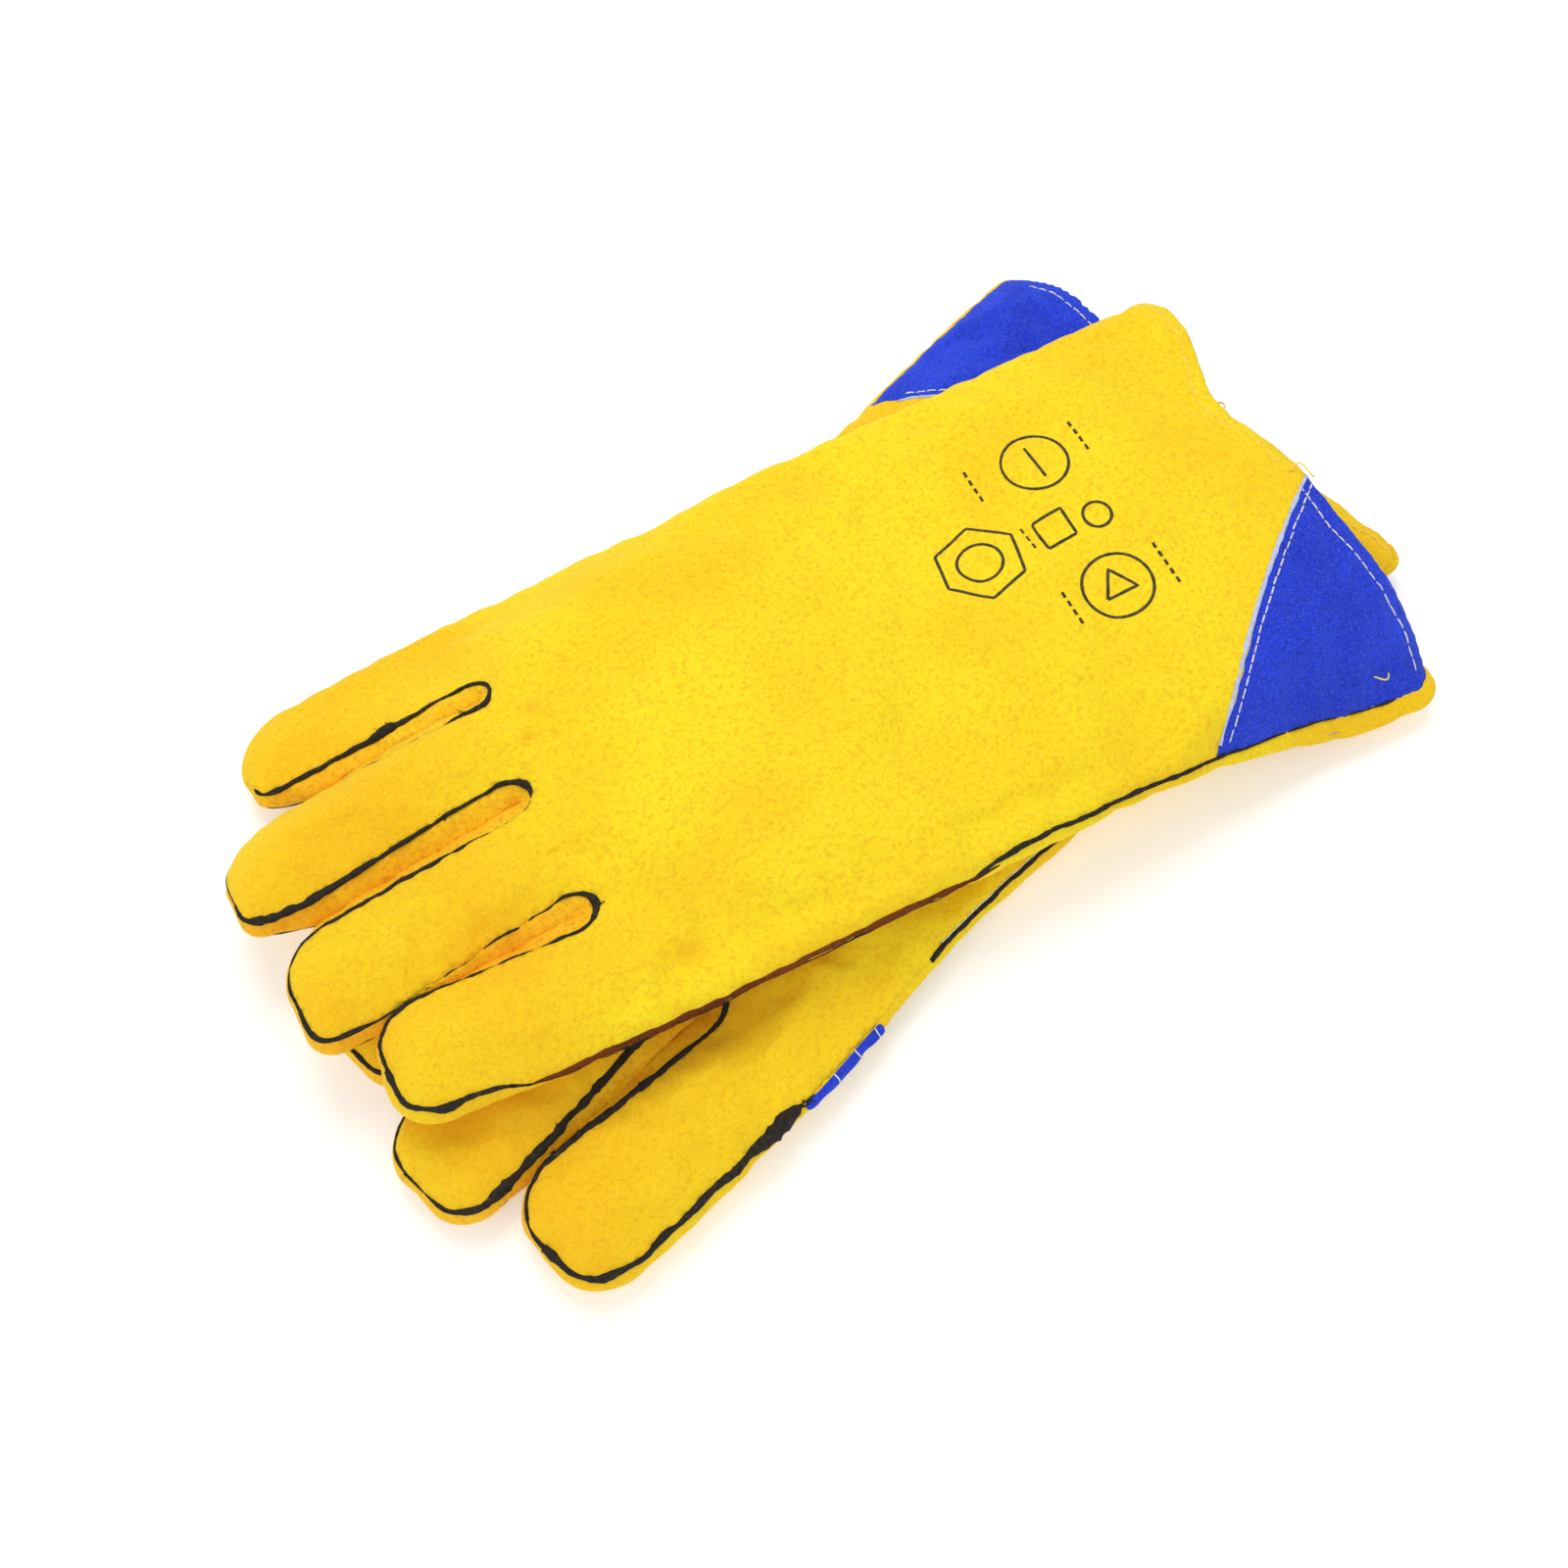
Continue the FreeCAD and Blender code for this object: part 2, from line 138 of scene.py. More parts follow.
# Where torn fibres stand out of each of those welts, as shares of the way.
FRAYS = {"left": {2: (0.14, 0.2, 0.28, 0.47, 0.75, 0.85), 1: (0.5,), 0: (0.5,)},
         "right": {2: (0.45,), 1: (0.49, 0.62), 0: (0.5, 0.745, 0.755)}}
STEP = 3.0                  # how far apart the points of the plan are
WALL_ROWS = 3               # rows of points between the upper and the lower rim
THUMB = (-17.0, 82.0, 20.2)     # root and tip along the thumb from its pivot, and half its width


# ---------------------------------------------------------------- plan outline

def run_length(line):
    """How far each point of a line is from its start, along the line."""
    return np.concatenate([[0.0], np.cumsum(np.linalg.norm(np.diff(line, axis=0), axis=1))])


def points_at(line, lengths):
    """The points that lie at the given lengths along a line."""
    s = run_length(line)
    return np.column_stack([np.interp(lengths, s, column) for column in line.T])


def ripple(*coords):
    """Smooth noise at points given as columns; a plain number goes for all of them."""
    return np.array([noise.noise(Vector(p)) for p in np.broadcast(*coords)])


def walk(points):
    """Points about a step apart along a polyline, the last one left out."""
    out = []
    for a, b in zip(points[:-1], points[1:]):
        count = max(1, int(round(np.linalg.norm(b - a) / STEP)))
        out += [a + (b - a) * i / count for i in range(count)]
    return out


def bump(x, middle, width):
    return np.exp(-((x - middle) / width) ** 2)


def smooth(t):
    t = np.clip(t, 0.0, 1.0)
    return t * t * (3.0 - 2.0 * t)


def corner(start, elbow, end):
    """A quarter of an ellipse that leaves start toward the elbow and arrives at end from it."""
    turn = 0.5 * math.pi * np.linspace(0.0, 1.0, 16)[:, None]
    start, elbow, end = (np.asarray(p, float) for p in (start, elbow, end))
    return elbow + (start - elbow) * (1.0 - np.sin(turn)) + (end - elbow) * (1.0 - np.cos(turn))


def finger_edge(side_name, name, far):
    """v of one edge of a finger as a function of u, and u of the fingertip."""
    lie = LIES[side_name][name]
    straight_tip = 20.0     # the edge has reached its shift at the tip this far before the tip
    root_shift, tip_shift = lie.far_side if far else lie.thumb_side
    middle = (FINGERS.index(name) - 1.5) * PITCH
    edge = middle + (-0.5 if far else 0.5) * FINGER_WIDTH
    tip = REACH - lie.short

    def v_at(u):
        t = np.clip((np.asarray(u, float) - CROTCH) / (tip - straight_tip - CROTCH), 0.0, 1.0)
        return edge + root_shift + (tip_shift - root_shift) * t ** 1.3
    return v_at, tip


def tip_corner(side_name, name, far):
    """A finger's edge, the round corner of its tip from there toward its middle, and where that begins."""
    v_at, tip = finger_edge(side_name, name, far)
    radius = LIES[side_name][name].rounds[1 if far else 0]
    sign = -1.0 if far else 1.0
    begin = tip - 1.25 * radius
    round_tip = corner((begin, v_at(begin)), (tip, v_at(tip)), (tip, v_at(tip) - sign * radius))
    return v_at, round_tip, begin


def edge_run(v_at, low, high):
    us = np.linspace(low, high, 40)
    return np.column_stack([us, v_at(us)])


def gap_run(side_name, rank):
    """Round one finger gap, from the thumb-side fingertip to the next one."""
    far_name, near_name = GAPS[rank]
    near_edge, near_tip, near_begin = tip_corner(side_name, near_name, True)
    far_edge, far_tip, far_begin = tip_corner(side_name, far_name, False)
    end = CROTCH + SLOT_ENDS[side_name][2 - rank]
    sides_at = end + 8.0    # where the round end of the gap meets its sides
    first, last = (sides_at, near_edge(end)), (sides_at, far_edge(end))
    middle = (end, 0.5 * (first[1] + last[1]))
    slot = np.vstack([corner(first, (end, first[1]), middle), corner(middle, (end, last[1]), last)])
    return np.vstack([near_tip[::-1], edge_run(near_edge, sides_at, near_begin)[::-1], slot,
                      edge_run(far_edge, sides_at, far_begin), far_tip])


def side_run(side_name, far):
    """One long side, from the cuff corner to the fingertip."""
    lie = SIDES[side_name]["far" if far else "thumb"]
    sign = -1.0 if far else 1.0
    v_edge, tip, begin = tip_corner(side_name, "little" if far else "index", far)
    cuff, waist = sign * (CUFF_HALF + lie.cuff), sign * (CUFF_HALF + lie.waist)

    def v_at(u):
        palm = cuff + (waist - cuff) * smooth(u / lie.waist_at)
        knuckles = smooth((u - lie.waist_at) / (lie.knuckles_at - lie.waist_at))
        return palm + (v_edge(u) - palm) * knuckles
    inset = cuff - sign * 6.0   # where the cuff's round corner leaves the cuff edge
    start = cuff_edge(side_name, inset)
    side_at = start + 8.0       # and where it meets the side
    bend = corner((start, inset), (start, cuff), (side_at, v_at(side_at)))
    us = np.linspace(side_at, begin, 120)
    return np.vstack([bend, np.column_stack([us, v_at(us)]), tip])


def cuff_edge(side_name, v):
    base, waves = CUFF_EDGES[side_name]
    return base + sum(depth * bump(v, middle, width) for depth, middle, width in waves)


def outline(side_name, seed):
    """The closed outline, cuff first; tags say which wall each stretch belongs to."""
    thumb_side, far_side = side_run(side_name, False), side_run(side_name, True)
    vs = np.linspace(far_side[0, 1], thumb_side[0, 1], 80)
    runs = [("cap", np.column_stack([cuff_edge(side_name, vs), vs])), ("radial", thumb_side)]
    runs += [("gap%d" % rank, gap_run(side_name, rank)) for rank in (2, 1, 0)]
    runs.append(("ulnar", far_side[::-1]))
    points, tags = [], []
    for k, (tag, run) in enumerate(runs):
        run = np.vstack([run, runs[(k + 1) % len(runs)][1][:1]])
        length = run_length(run)[-1]
        line = points_at(run, np.linspace(0.0, length, int(round(length / STEP)), endpoint=False))
        if not tag.startswith("gap"):
            line += 0.35 * ripple(line[:, 0] / 7.0, line[:, 1] / 7.0, seed)[:, None]
        points.append(line)
        tags += [tag] * len(line)
    return np.vstack(points), tags


def inside(points, loop):
    """Which of the points lie in the closed loop."""
    x, y = points[:, 0], points[:, 1]
    hit = np.zeros(len(points), bool)
    for (x0, y0), (x1, y1) in zip(loop, np.roll(loop, -1, axis=0)):
        if y0 == y1:
            continue
        cross = ((y0 > y) != (y1 > y)) & (x < (x1 - x0) * (y - y0) / (y1 - y0) + x0)
        hit ^= cross
    return hit


def tree_of(points):
    tree = KDTree(len(points))
    for i, p in enumerate(points):
        tree.insert((p[0], p[1], 0.0), i)
    tree.balance()
    return tree


def distance(points, others):
    tree = tree_of(others)
    return np.array([tree.find((p[0], p[1], 0.0))[2] for p in points])


def patch_line(sign):
    """The sewn edge of a corner patch, from the cuff edge to the side."""
    t = np.linspace(0.0, 1.0, 30)
    us = PATCH_START[0] + (PATCH_END[0] - PATCH_START[0]) * t
    vs = PATCH_START[1] + (PATCH_END[1] - PATCH_START[1]) * t - PATCH_SAG * np.sin(math.pi * t)
    return np.column_stack([us * (1.0 if sign > 0 else PALM_PATCH_SHARE), sign * vs])


def patch_side(points, sign):
    """True where the points lie on the corner's side of the patch edge."""
    line = patch_line(sign)
    v_edge = np.interp(points[:, 0], line[:, 0], sign * line[:, 1])
    return (sign * points[:, 1] > v_edge) & (points[:, 0] < line[-1, 0])


def triangulate(loop, seed):
    """A fine even triangle mesh of the plan, with edges along both patch lines."""
    length, half_width, jitter = 360.0, 90.0, 0.45
    from_rim, apart = 1.2, 0.62 * STEP
    rng = np.random.default_rng(seed)
    lines = []
    for sign in (1, -1):
        pts = np.array(walk(patch_line(sign)))
        lines.append(pts[inside(pts, loop) & (distance(pts, loop) > from_rim)])
    held = np.vstack([loop] + lines)
    us = np.arange(0.0, length, STEP)
    grid = np.array([(u, v + (0.5 * STEP if i % 2 else 0.0)) for i, u in enumerate(us)
                     for v in np.arange(-half_width, half_width, STEP)])
    grid += rng.uniform(-jitter, jitter, grid.shape)
    free = grid[inside(grid, loop)]
    free = free[distance(free, held) > apart]
    points = np.vstack([held, free])
    edges = []
    start = len(loop)
    for pts in lines:
        edges += [(start + i, start + i + 1) for i in range(len(pts) - 1)]
        start += len(pts)
    verts = [Vector((p[0], p[1])) for p in points]
    out = delaunay_2d_cdt(verts, edges, [list(range(len(loop)))], 1, 1e-4)
    plan = np.array([(p.x, p.y) for p in out[0]])
    faces = [list(f) for f in out[2]]
    return plan, faces


# ---------------------------------------------------------------- the sewn shell of one glove

def wrinkle(points, scale, seed, stretch=1.0):
    return ripple(points[:, 0] / (scale * stretch), points[:, 1] / scale, seed)


class Shell:
    """Top, bottom and side walls of a glove as one closed mesh, in millimetres."""

    def __init__(self, side, top, bottom, place, seed):
        self.side, self.top, self.bottom, self.place, self.seed = side, top, bottom, place, seed
        self.loop, self.tags = outline(side, seed)
        self.gap_edges = [self.find_gap("gap%d" % rank) for rank in range(3)]
        self.plan, self.faces = triangulate(self.loop, int(seed * 10))
        self.rim = self.find_rim()
        self.build()

    def find_rim(self):
        """Indices of the outline's points in the triangulation, in order."""
        tree = tree_of(self.plan)
        return [tree.find((p[0], p[1], 0.0))[1] for p in self.loop]

    def stretch(self, tag):
        return [i for i, t in enumerate(self.tags) if t == tag]

    def find_gap(self, tag):
        """Both edges of a finger gap as v over u, and where the gap begins and ends."""
        line = self.loop[self.stretch(tag)]
        crotch = int(np.argmin(line[:, 0]))
        high, low = line[:crotch + 1][::-1], line[crotch:]
        high, low = (side[np.argsort(side[:, 0], kind="stable")] for side in (high, low))
        return high, low, line[crotch, 0], min(high[-1, 0], low[-1, 0])

    def heights(self):
        """Height of the top and bottom skins over the plan."""
        p = self.plan
        u, v = p[:, 0], p[:, 1]
        sides = self.loop[np.array([t != "cap" for t in self.tags])]
        edge = distance(p, sides)
        hand = smooth((u - 60.0) / 120.0)               # 0 at the cuff, 1 over the hand
        finger = smooth((u - CROTCH + 25.0) / 50.0)     # 1 over the fingers
        reach = 22.0 + 8.0 * hand - 13.5 * finger       # how far in from its edge the leather rises
        wall = 4.0 + 4.0 * hand + 2.0 * finger          # how high the edge itself stands
        swell = np.clip(edge / reach, 0.0, 1.0)
        swell = swell * (2.0 - swell)
        half = 0.5 * wall + 0.5 * (THICK - wall) * swell
        calm = smooth(edge / 14.0) * (1.0 - 0.35 * finger)
        folds = 2.6 * wrinkle(p, 46.0, self.seed, 1.5) + 1.3 * wrinkle(p, 21.0, self.seed + 5.0, 1.3)
        folds += 0.45 * wrinkle(p, 9.0, self.seed + 9.0)
        top = 0.5 * THICK + half - 1.2 * calm + calm * folds * 0.75 - 1.1 * finger * (1.0 - swell)
        bottom = 0.5 * THICK - half
        rear, front, inner, height = RECESS
        raised = smooth((u - rear - 2.0) / 8.0) * smooth((front + 2.0 - u) / 8.0)
        raised = raised * smooth((v - inner + 2.0) / 8.0)
        bottom = np.maximum(bottom, height * raised)
        return np.maximum(top, bottom + 4.0), bottom

    def tuck(self):
        """The plan of the lower skin: the finger gaps close up there, so their strips slope inward."""
        most, spread = 8.0, 13.0    # how far a side moves at most, and how far beyond it that is felt
        p = self.plan.copy()
        u = p[:, 0]
        for high, low, start, end in self.gap_edges:
            upper_v = np.interp(u, high[:, 0], high[:, 1])
            lower_v = np.interp(u, low[:, 0], low[:, 1])
            middle, half = 0.5 * (upper_v + lower_v), np.maximum(0.5 * (upper_v - lower_v), 1.3)
            past = start + 12.0
            wide = np.interp(past, high[:, 0], high[:, 1]) - np.interp(past, low[:, 0], low[:, 1])
            rounded = np.maximum(half, 0.5 * wide * smooth((u - start + 4.0) / 12.0))
            half = np.where(u < past, rounded, half)
            fade = smooth((u - start + 14.0) / 15.0) * smooth((end - 2.0 - u) / 18.0)
            close = np.clip(half - 0.3, 0.0, most) * fade
            off = self.plan[:, 1] - middle
            within = np.clip(np.abs(off) / half, 0.0, 1.0)
            beyond = np.clip(1.0 - (np.abs(off) - half) / spread, 0.0, 1.0)
            p[:, 1] -= np.sign(off) * close * within * beyond
            p[:, 0] += 3.2 * bump(off, 0.0, 6.0) * bump(u, start, 9.0)
        if self.side == "right":    # its cuff corner on the thumb side bulges out below the patch
            p[:, 1] += 4.5 * smooth((p[:, 1] - 60.0) / 16.0) * smooth((85.0 - u) / 70.0)
        return p

    def drape(self, xyz):
        """From the plan to the frame, hanging over the glove underneath."""
        along, across, turn, stack = self.place
        c, s = math.cos(turn), math.sin(turn)
        x, y = -xyz[:, 0], -xyz[:, 1]
        row_x, row_y = along + c * x - s * y, across + s * x + c * y
        fall = smooth((np.abs(row_y - LEFT_PLACE[1]) - DROP[0]) / DROP[1])
        return np.stack([row_x, row_y, xyz[:, 2] + stack * (1.0 - fall)], axis=1)

    def build(self):
        top, bottom = self.heights()
        n, m = len(self.plan), len(self.rim)
        wall = []
        lower = self.tuck()
        rim = self.plan[self.rim]
        along = np.roll(rim, -1, axis=0) - np.roll(rim, 1, axis=0)
        outward = np.stack([along[:, 1], -along[:, 0]], axis=1)
        outward /= np.linalg.norm(outward, axis=1)[:, None] + 1e-9
        if np.sum((rim - rim.mean(axis=0)) * outward) < 0:
            outward = -outward
        gap = np.array([t.startswith("gap") for t in self.tags])
        for k in range(1, WALL_ROWS + 1):
            t = k / (WALL_ROWS + 1)
            bulge = np.where(gap, 1.35 * smooth(t / 0.6), 2.0 * math.sin(math.pi * t))
            near = np.where(gap, (1 - t) ** 2.0, (1 - t) ** 1.3)[:, None]
            p = rim * near + lower[self.rim] * (1 - near) + outward * bulge[:, None]
            z = top[self.rim] * (1 - t) + bottom[self.rim] * t
            wall.append(np.column_stack([p, z]))
        skins = [np.column_stack([self.plan, top]), np.column_stack([lower, bottom])]
        self.local = np.vstack(skins + wall)
        self.verts = self.drape(self.local)
        strips = [np.array(self.rim)] + [2 * n + k * m + np.arange(m) for k in range(WALL_ROWS)]
        strips.append(n + np.array(self.rim))
        self.strips = strips
        centre = np.array([self.plan[f].mean(axis=0) for f in self.faces])
        patch = {"back": patch_side(centre, 1), "palm": patch_side(centre, -1)}
        faces = self.faces + [[n + i for i in face[::-1]] for face in self.faces]
        kinds = [skin + ("_corner_patch" if is_patch else "_leather")
                 for skin in (self.top, self.bottom) for is_patch in patch[skin]]
        for i in range(m):
            j = (i + 1) % m
            tag = self.tags[i]
            kind = {"cap": "cap", "radial": "back_leather", "ulnar": "back_leather"}.get(tag)
            if kind is None:
                kind = "forchette_%s_%s" % GAPS[int(tag[3:])]
            for a, b in zip(strips[:-1], strips[1:]):
                faces.append([int(a[i]), int(a[j]), int(b[j]), int(b[i])])
                kinds.append(kind)
        self.all_faces, self.kinds = faces, kinds


def place_of(side):
    """(along, across, turn, stack) of a glove, from the CAD's own boxes."""
    lo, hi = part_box("left_back_leather")
    along, across = hi[0] / MM, 0.5 * (lo[1] + hi[1]) / MM
    if side == "left":
        return along, across, 0.0, 0.0
    return along + UPPER_SHIFT[0], across + UPPER_SHIFT[1], math.radians(UPPER_TURN), STACK


LEFT_PLACE = place_of("left")


# ---------------------------------------------------------------- Blender objects

def new_object(name, verts, faces):
    mesh = bpy.data.meshes.new(name)
    mesh.from_pydata([tuple(v) for v in verts], [], [tuple(int(i) for i in f) for f in faces])
    mesh.validate()
    mesh.update()
    mesh.polygons.foreach_set("use_smooth", [True] * len(mesh.polygons))
    obj = bpy.data.objects.new(name, mesh)
    bpy.context.scene.collection.objects.link(obj)
    return obj


def evaluated(obj):
    """Vertices and faces of an object after its modifiers, with each face's material index."""
    graph = bpy.context.evaluated_depsgraph_get()
    mesh = obj.evaluated_get(graph).to_mesh()
    verts = np.empty(len(mesh.vertices) * 3)
    mesh.vertices.foreach_get("co", verts)
    faces = [list(p.vertices) for p in mesh.polygons]
    kinds = [p.material_index for p in mesh.polygons]
    obj.evaluated_get(graph).to_mesh_clear()
    return verts.reshape(-1, 3), faces, kinds


def remove(obj):
    mesh = obj.data
    bpy.data.objects.remove(obj)
    bpy.data.meshes.remove(mesh)


def settle(shell):
    """Inflates the shell a little as cloth, so that its seams draw small folds into the leather."""
    frames, furthest = 20, 2.6
    obj = new_object(shell.side + "_sim", shell.verts * MM, shell.all_faces)
    n = len(shell.plan)
    seams = obj.vertex_groups.new(name="seams")
    held = set(int(i) for i in shell.strips[0]) | set(int(i) for i in shell.strips[-1])
    held |= set(range(n, 2 * n))
    seams.add(list(held), 1.0, "REPLACE")
    cloth = obj.modifiers.new("cloth", "CLOTH")
    settings = cloth.settings
    settings.quality = 4
    settings.mass = 0.3
    settings.tension_stiffness = settings.compression_stiffness = 12.0
    settings.shear_stiffness = 6.0
    settings.bending_stiffness = 0.6
    settings.use_pressure = True
    settings.uniform_pressure_force = 1.5
    settings.shrink_min = settings.shrink_max = -0.035
    settings.vertex_group_mass = "seams"
    settings.pin_stiffness = 1.0
    settings.effector_weights.gravity = 0.0
    cloth.collision_settings.use_collision = False
    cloth.collision_settings.use_self_collision = False
    cloth.point_cache.frame_start, cloth.point_cache.frame_end = 1, frames
    scene = bpy.context.scene
    for step in range(1, frames + 1):
        scene.frame_set(step)
    moved, _, _ = evaluated(obj)
    scene.frame_set(1)
    remove(obj)
    shift = moved / MM - shell.verts
    length = np.linalg.norm(shift, axis=1)[:, None] + 1e-9
    shell.verts = shell.verts + shift / length * (furthest * np.tanh(length / furthest))


def refine(shell):
    """One smooth subdivision of the whole shell, still as one mesh."""
    names = sorted(set(shell.kinds))
    obj = new_object(shell.side + "_fine", shell.verts, shell.all_faces)
    index = [names.index(k) for k in shell.kinds]
    for name in names:
        obj.data.materials.append(bpy.data.materials.get(name) or bpy.data.materials.new(name))
    obj.data.polygons.foreach_set("material_index", index)
    mod = obj.modifiers.new("subsurf", "SUBSURF")
    mod.levels = 1
    verts, faces, kinds = evaluated(obj)
    remove(obj)
    shell.fine, shell.fine_faces = verts, faces
    shell.fine_kinds = [names[k] for k in kinds]


def piece(shell, name, mesh, look, node=None, thick=0.0, tone=None, body="glove"):
    """A finished piece in the frame: rides on the glove or its thumb and stands for a CAD node."""
    verts, faces = mesh
    used = sorted({i for f in faces for i in f})
    renumber = {old: new for new, old in enumerate(used)}
    obj = new_object("%s_%s" % (shell.side, name), [verts[i] * MM for i in used],
                     [[renumber[i] for i in f] for f in faces])
    obj.data.materials.append(MAT[look])
    if tone is not None:
        layer = obj.data.attributes.new("tone", "FLOAT", "POINT")
        layer.data.foreach_set("value", tone[used].astype(np.float32))
    if thick:
        solid = obj.modifiers.new("thickness", "SOLIDIFY")
        solid.thickness = thick * MM
        solid.offset = -1.0
    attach(obj, "%s_%s" % (shell.side, body))
    if node:
        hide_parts("%s_%s" % (shell.side, node))
    return obj


def band(row, next_row, closed):
    """Quads between two rows of point numbers."""
    after = list(row[1:]) + [row[0]]
    next_after = list(next_row[1:]) + [next_row[0]]
    quads = [list(quad) for quad in zip(row, after, next_after, next_row)]
    return quads if closed else quads[:-1]


def tube(path, radius, sides=8, flat=1.0):
    """A tube with closed ends along a path; radius may vary from point to point."""
    path = np.asarray(path, float)
    n = len(path)
    radius = np.full(n, radius) if np.isscalar(radius) else np.asarray(radius)
    tangent = np.gradient(path, axis=0)
    tangent /= np.linalg.norm(tangent, axis=1)[:, None] + 1e-12
    across = np.cross(tangent, np.array([0.0, 0.0, 1.0]))
    across /= np.linalg.norm(across, axis=1)[:, None] + 1e-12
    above = np.cross(across, tangent)
    verts, faces = [], []
    for i in range(n):
        for k in range(sides):
            a = 2.0 * math.pi * k / sides
            verts.append(path[i] + radius[i] * (math.cos(a) * across[i] + flat * math.sin(a) * above[i]))
    rings = [list(range(i * sides, (i + 1) * sides)) for i in range(n)]
    for ring_a, ring_b in zip(rings[:-1], rings[1:]):
        faces += band(ring_a, ring_b, True)
    return verts, faces + [rings[0][::-1], rings[-1]]


def joined(parts):
    """Several (verts, faces) as one."""
    verts, faces = [], []
    for v, f in parts:
        base = len(verts)
        verts += list(v)
        faces += [[base + i for i in face] for face in f]
    return np.array(verts), faces


def resample(path, step):
    path = np.asarray(path, float)
    length = run_length(path)[-1]
    return points_at(path, np.linspace(0.0, length, max(3, int(length / step))))


# ---------------------------------------------------------------- materials

class Nodes:
    """A small helper to write a node tree line by line."""

    def __init__(self, name):
        self.material = bpy.data.materials.new(name)
        self.material.use_nodes = True
        self.tree = self.material.node_tree
        self.tree.nodes.clear()
        self.out = self.tree.nodes.new("ShaderNodeOutputMaterial")
        self.shader = self.tree.nodes.new("ShaderNodeBsdfPrincipled")
        self.link(self.shader.outputs[0], self.out.inputs[0])
        self.coords = self.tree.nodes.new("ShaderNodeTexCoord").outputs["Object"]

    def link(self, a, b):
        self.tree.links.new(a, b)

    def feed(self, socket, value):
        """Links another node's output to a socket, or writes a plain number or colour into it."""
        if isinstance(value, bpy.types.NodeSocket):
            self.link(value, socket)
        else:
            socket.default_value = value if np.isscalar(value) else (*value, 1.0)

    def add(self, kind, output, **inputs):
        node = self.tree.nodes.new("ShaderNode" + kind)
        for key, value in inputs.items():
            self.feed(node.inputs[key], value)
        return node.outputs[output]

    def noise(self, scale, detail, rough):
        return self.add("TexNoise", "Fac", Vector=self.coords, Scale=scale, Detail=detail, Roughness=rough)

    def attribute(self, name):
        node = self.tree.nodes.new("ShaderNodeAttribute")
        node.attribute_name = name
        return node.outputs["Fac"]

    def cells(self, scale):
        return self.add("TexVoronoi", "Distance", Vector=self.coords, Scale=scale)

    def ramp(self, source, stops):
        node = self.tree.nodes.new("ShaderNodeValToRGB")
        ramp = node.color_ramp
        while len(ramp.elements) < len(stops):
            ramp.elements.new(0.5)
        for element, (place, value) in zip(ramp.elements, stops):
            element.position = place
            colour = value if hasattr(value, "__len__") else (value, value, value)
            element.color = (*colour, 1.0)
        self.link(source, node.inputs[0])
        return node.outputs["Color"]

    def mix(self, a, b, factor):
        node = self.tree.nodes.new("ShaderNodeMix")
        node.data_type = "RGBA"
        for socket, value in ((0, factor), (6, a), (7, b)):
            self.feed(node.inputs[socket], value)
        return node.outputs[2]

    def math(self, kind, a, b):
        node = self.tree.nodes.new("ShaderNodeMath")
        node.operation = kind
        self.feed(node.inputs[0], a)
        self.feed(node.inputs[1], b)
        return node.outputs[0]

    def bump(self, source, strength, depth):
        normal = self.add("Bump", "Normal", Height=source, Strength=strength, Distance=depth)
        self.link(normal, self.shader.inputs["Normal"])

    def set(self, **values):
        for key, value in values.items():
            self.feed(self.shader.inputs[key.replace("_", " ")], value)
        return self.material


def suede(name, base, patchy, deep, pale, contrast=0.35, toned=False):
    """Split leather: speckled nap, cloudy dye, darker in the low spots."""
    n = Nodes(name)
    cloud = n.ramp(n.noise(22.0, 3.0, 0.5), [(0.42, 0.0), (0.66, 1.0)])
    nap = n.noise(2000.0, 5.0, 0.7)
    grain = n.noise(640.0, 7.0, 0.72)
    share = n.math("MULTIPLY", cloud, 0.35 if toned else 0.75)
    if toned:
        share = n.math("ADD", share, n.attribute("tone"))
        share.node.use_clamp = True
    colour = n.mix(base, patchy, share)
    colour = n.mix(colour, deep, n.math("MULTIPLY", n.ramp(grain, [(0.38, 1.0), (0.52, 0.0)]), contrast))
    colour = n.mix(colour, pale, n.math("MULTIPLY", n.ramp(nap, [(0.54, 0.0), (0.66, 1.0)]), contrast))
    height = n.math("ADD", n.math("MULTIPLY", nap, 0.5), n.math("MULTIPLY", grain, 1.0))
    height = n.math("ADD", height, n.math("MULTIPLY", n.noise(70.0, 5.0, 0.6), 1.2))
    n.bump(height, 0.55, 0.0006)
    n.set(Sheen_Weight=0.28, Sheen_Roughness=0.55, Specular_IOR_Level=0.2)
    n.shader.inputs["Sheen Tint"].default_value = (*pale, 1.0)
    rough = n.ramp(grain, [(0.3, 0.78), (0.7, 0.95)])
    return n.set(Base_Color=colour, Roughness=rough)


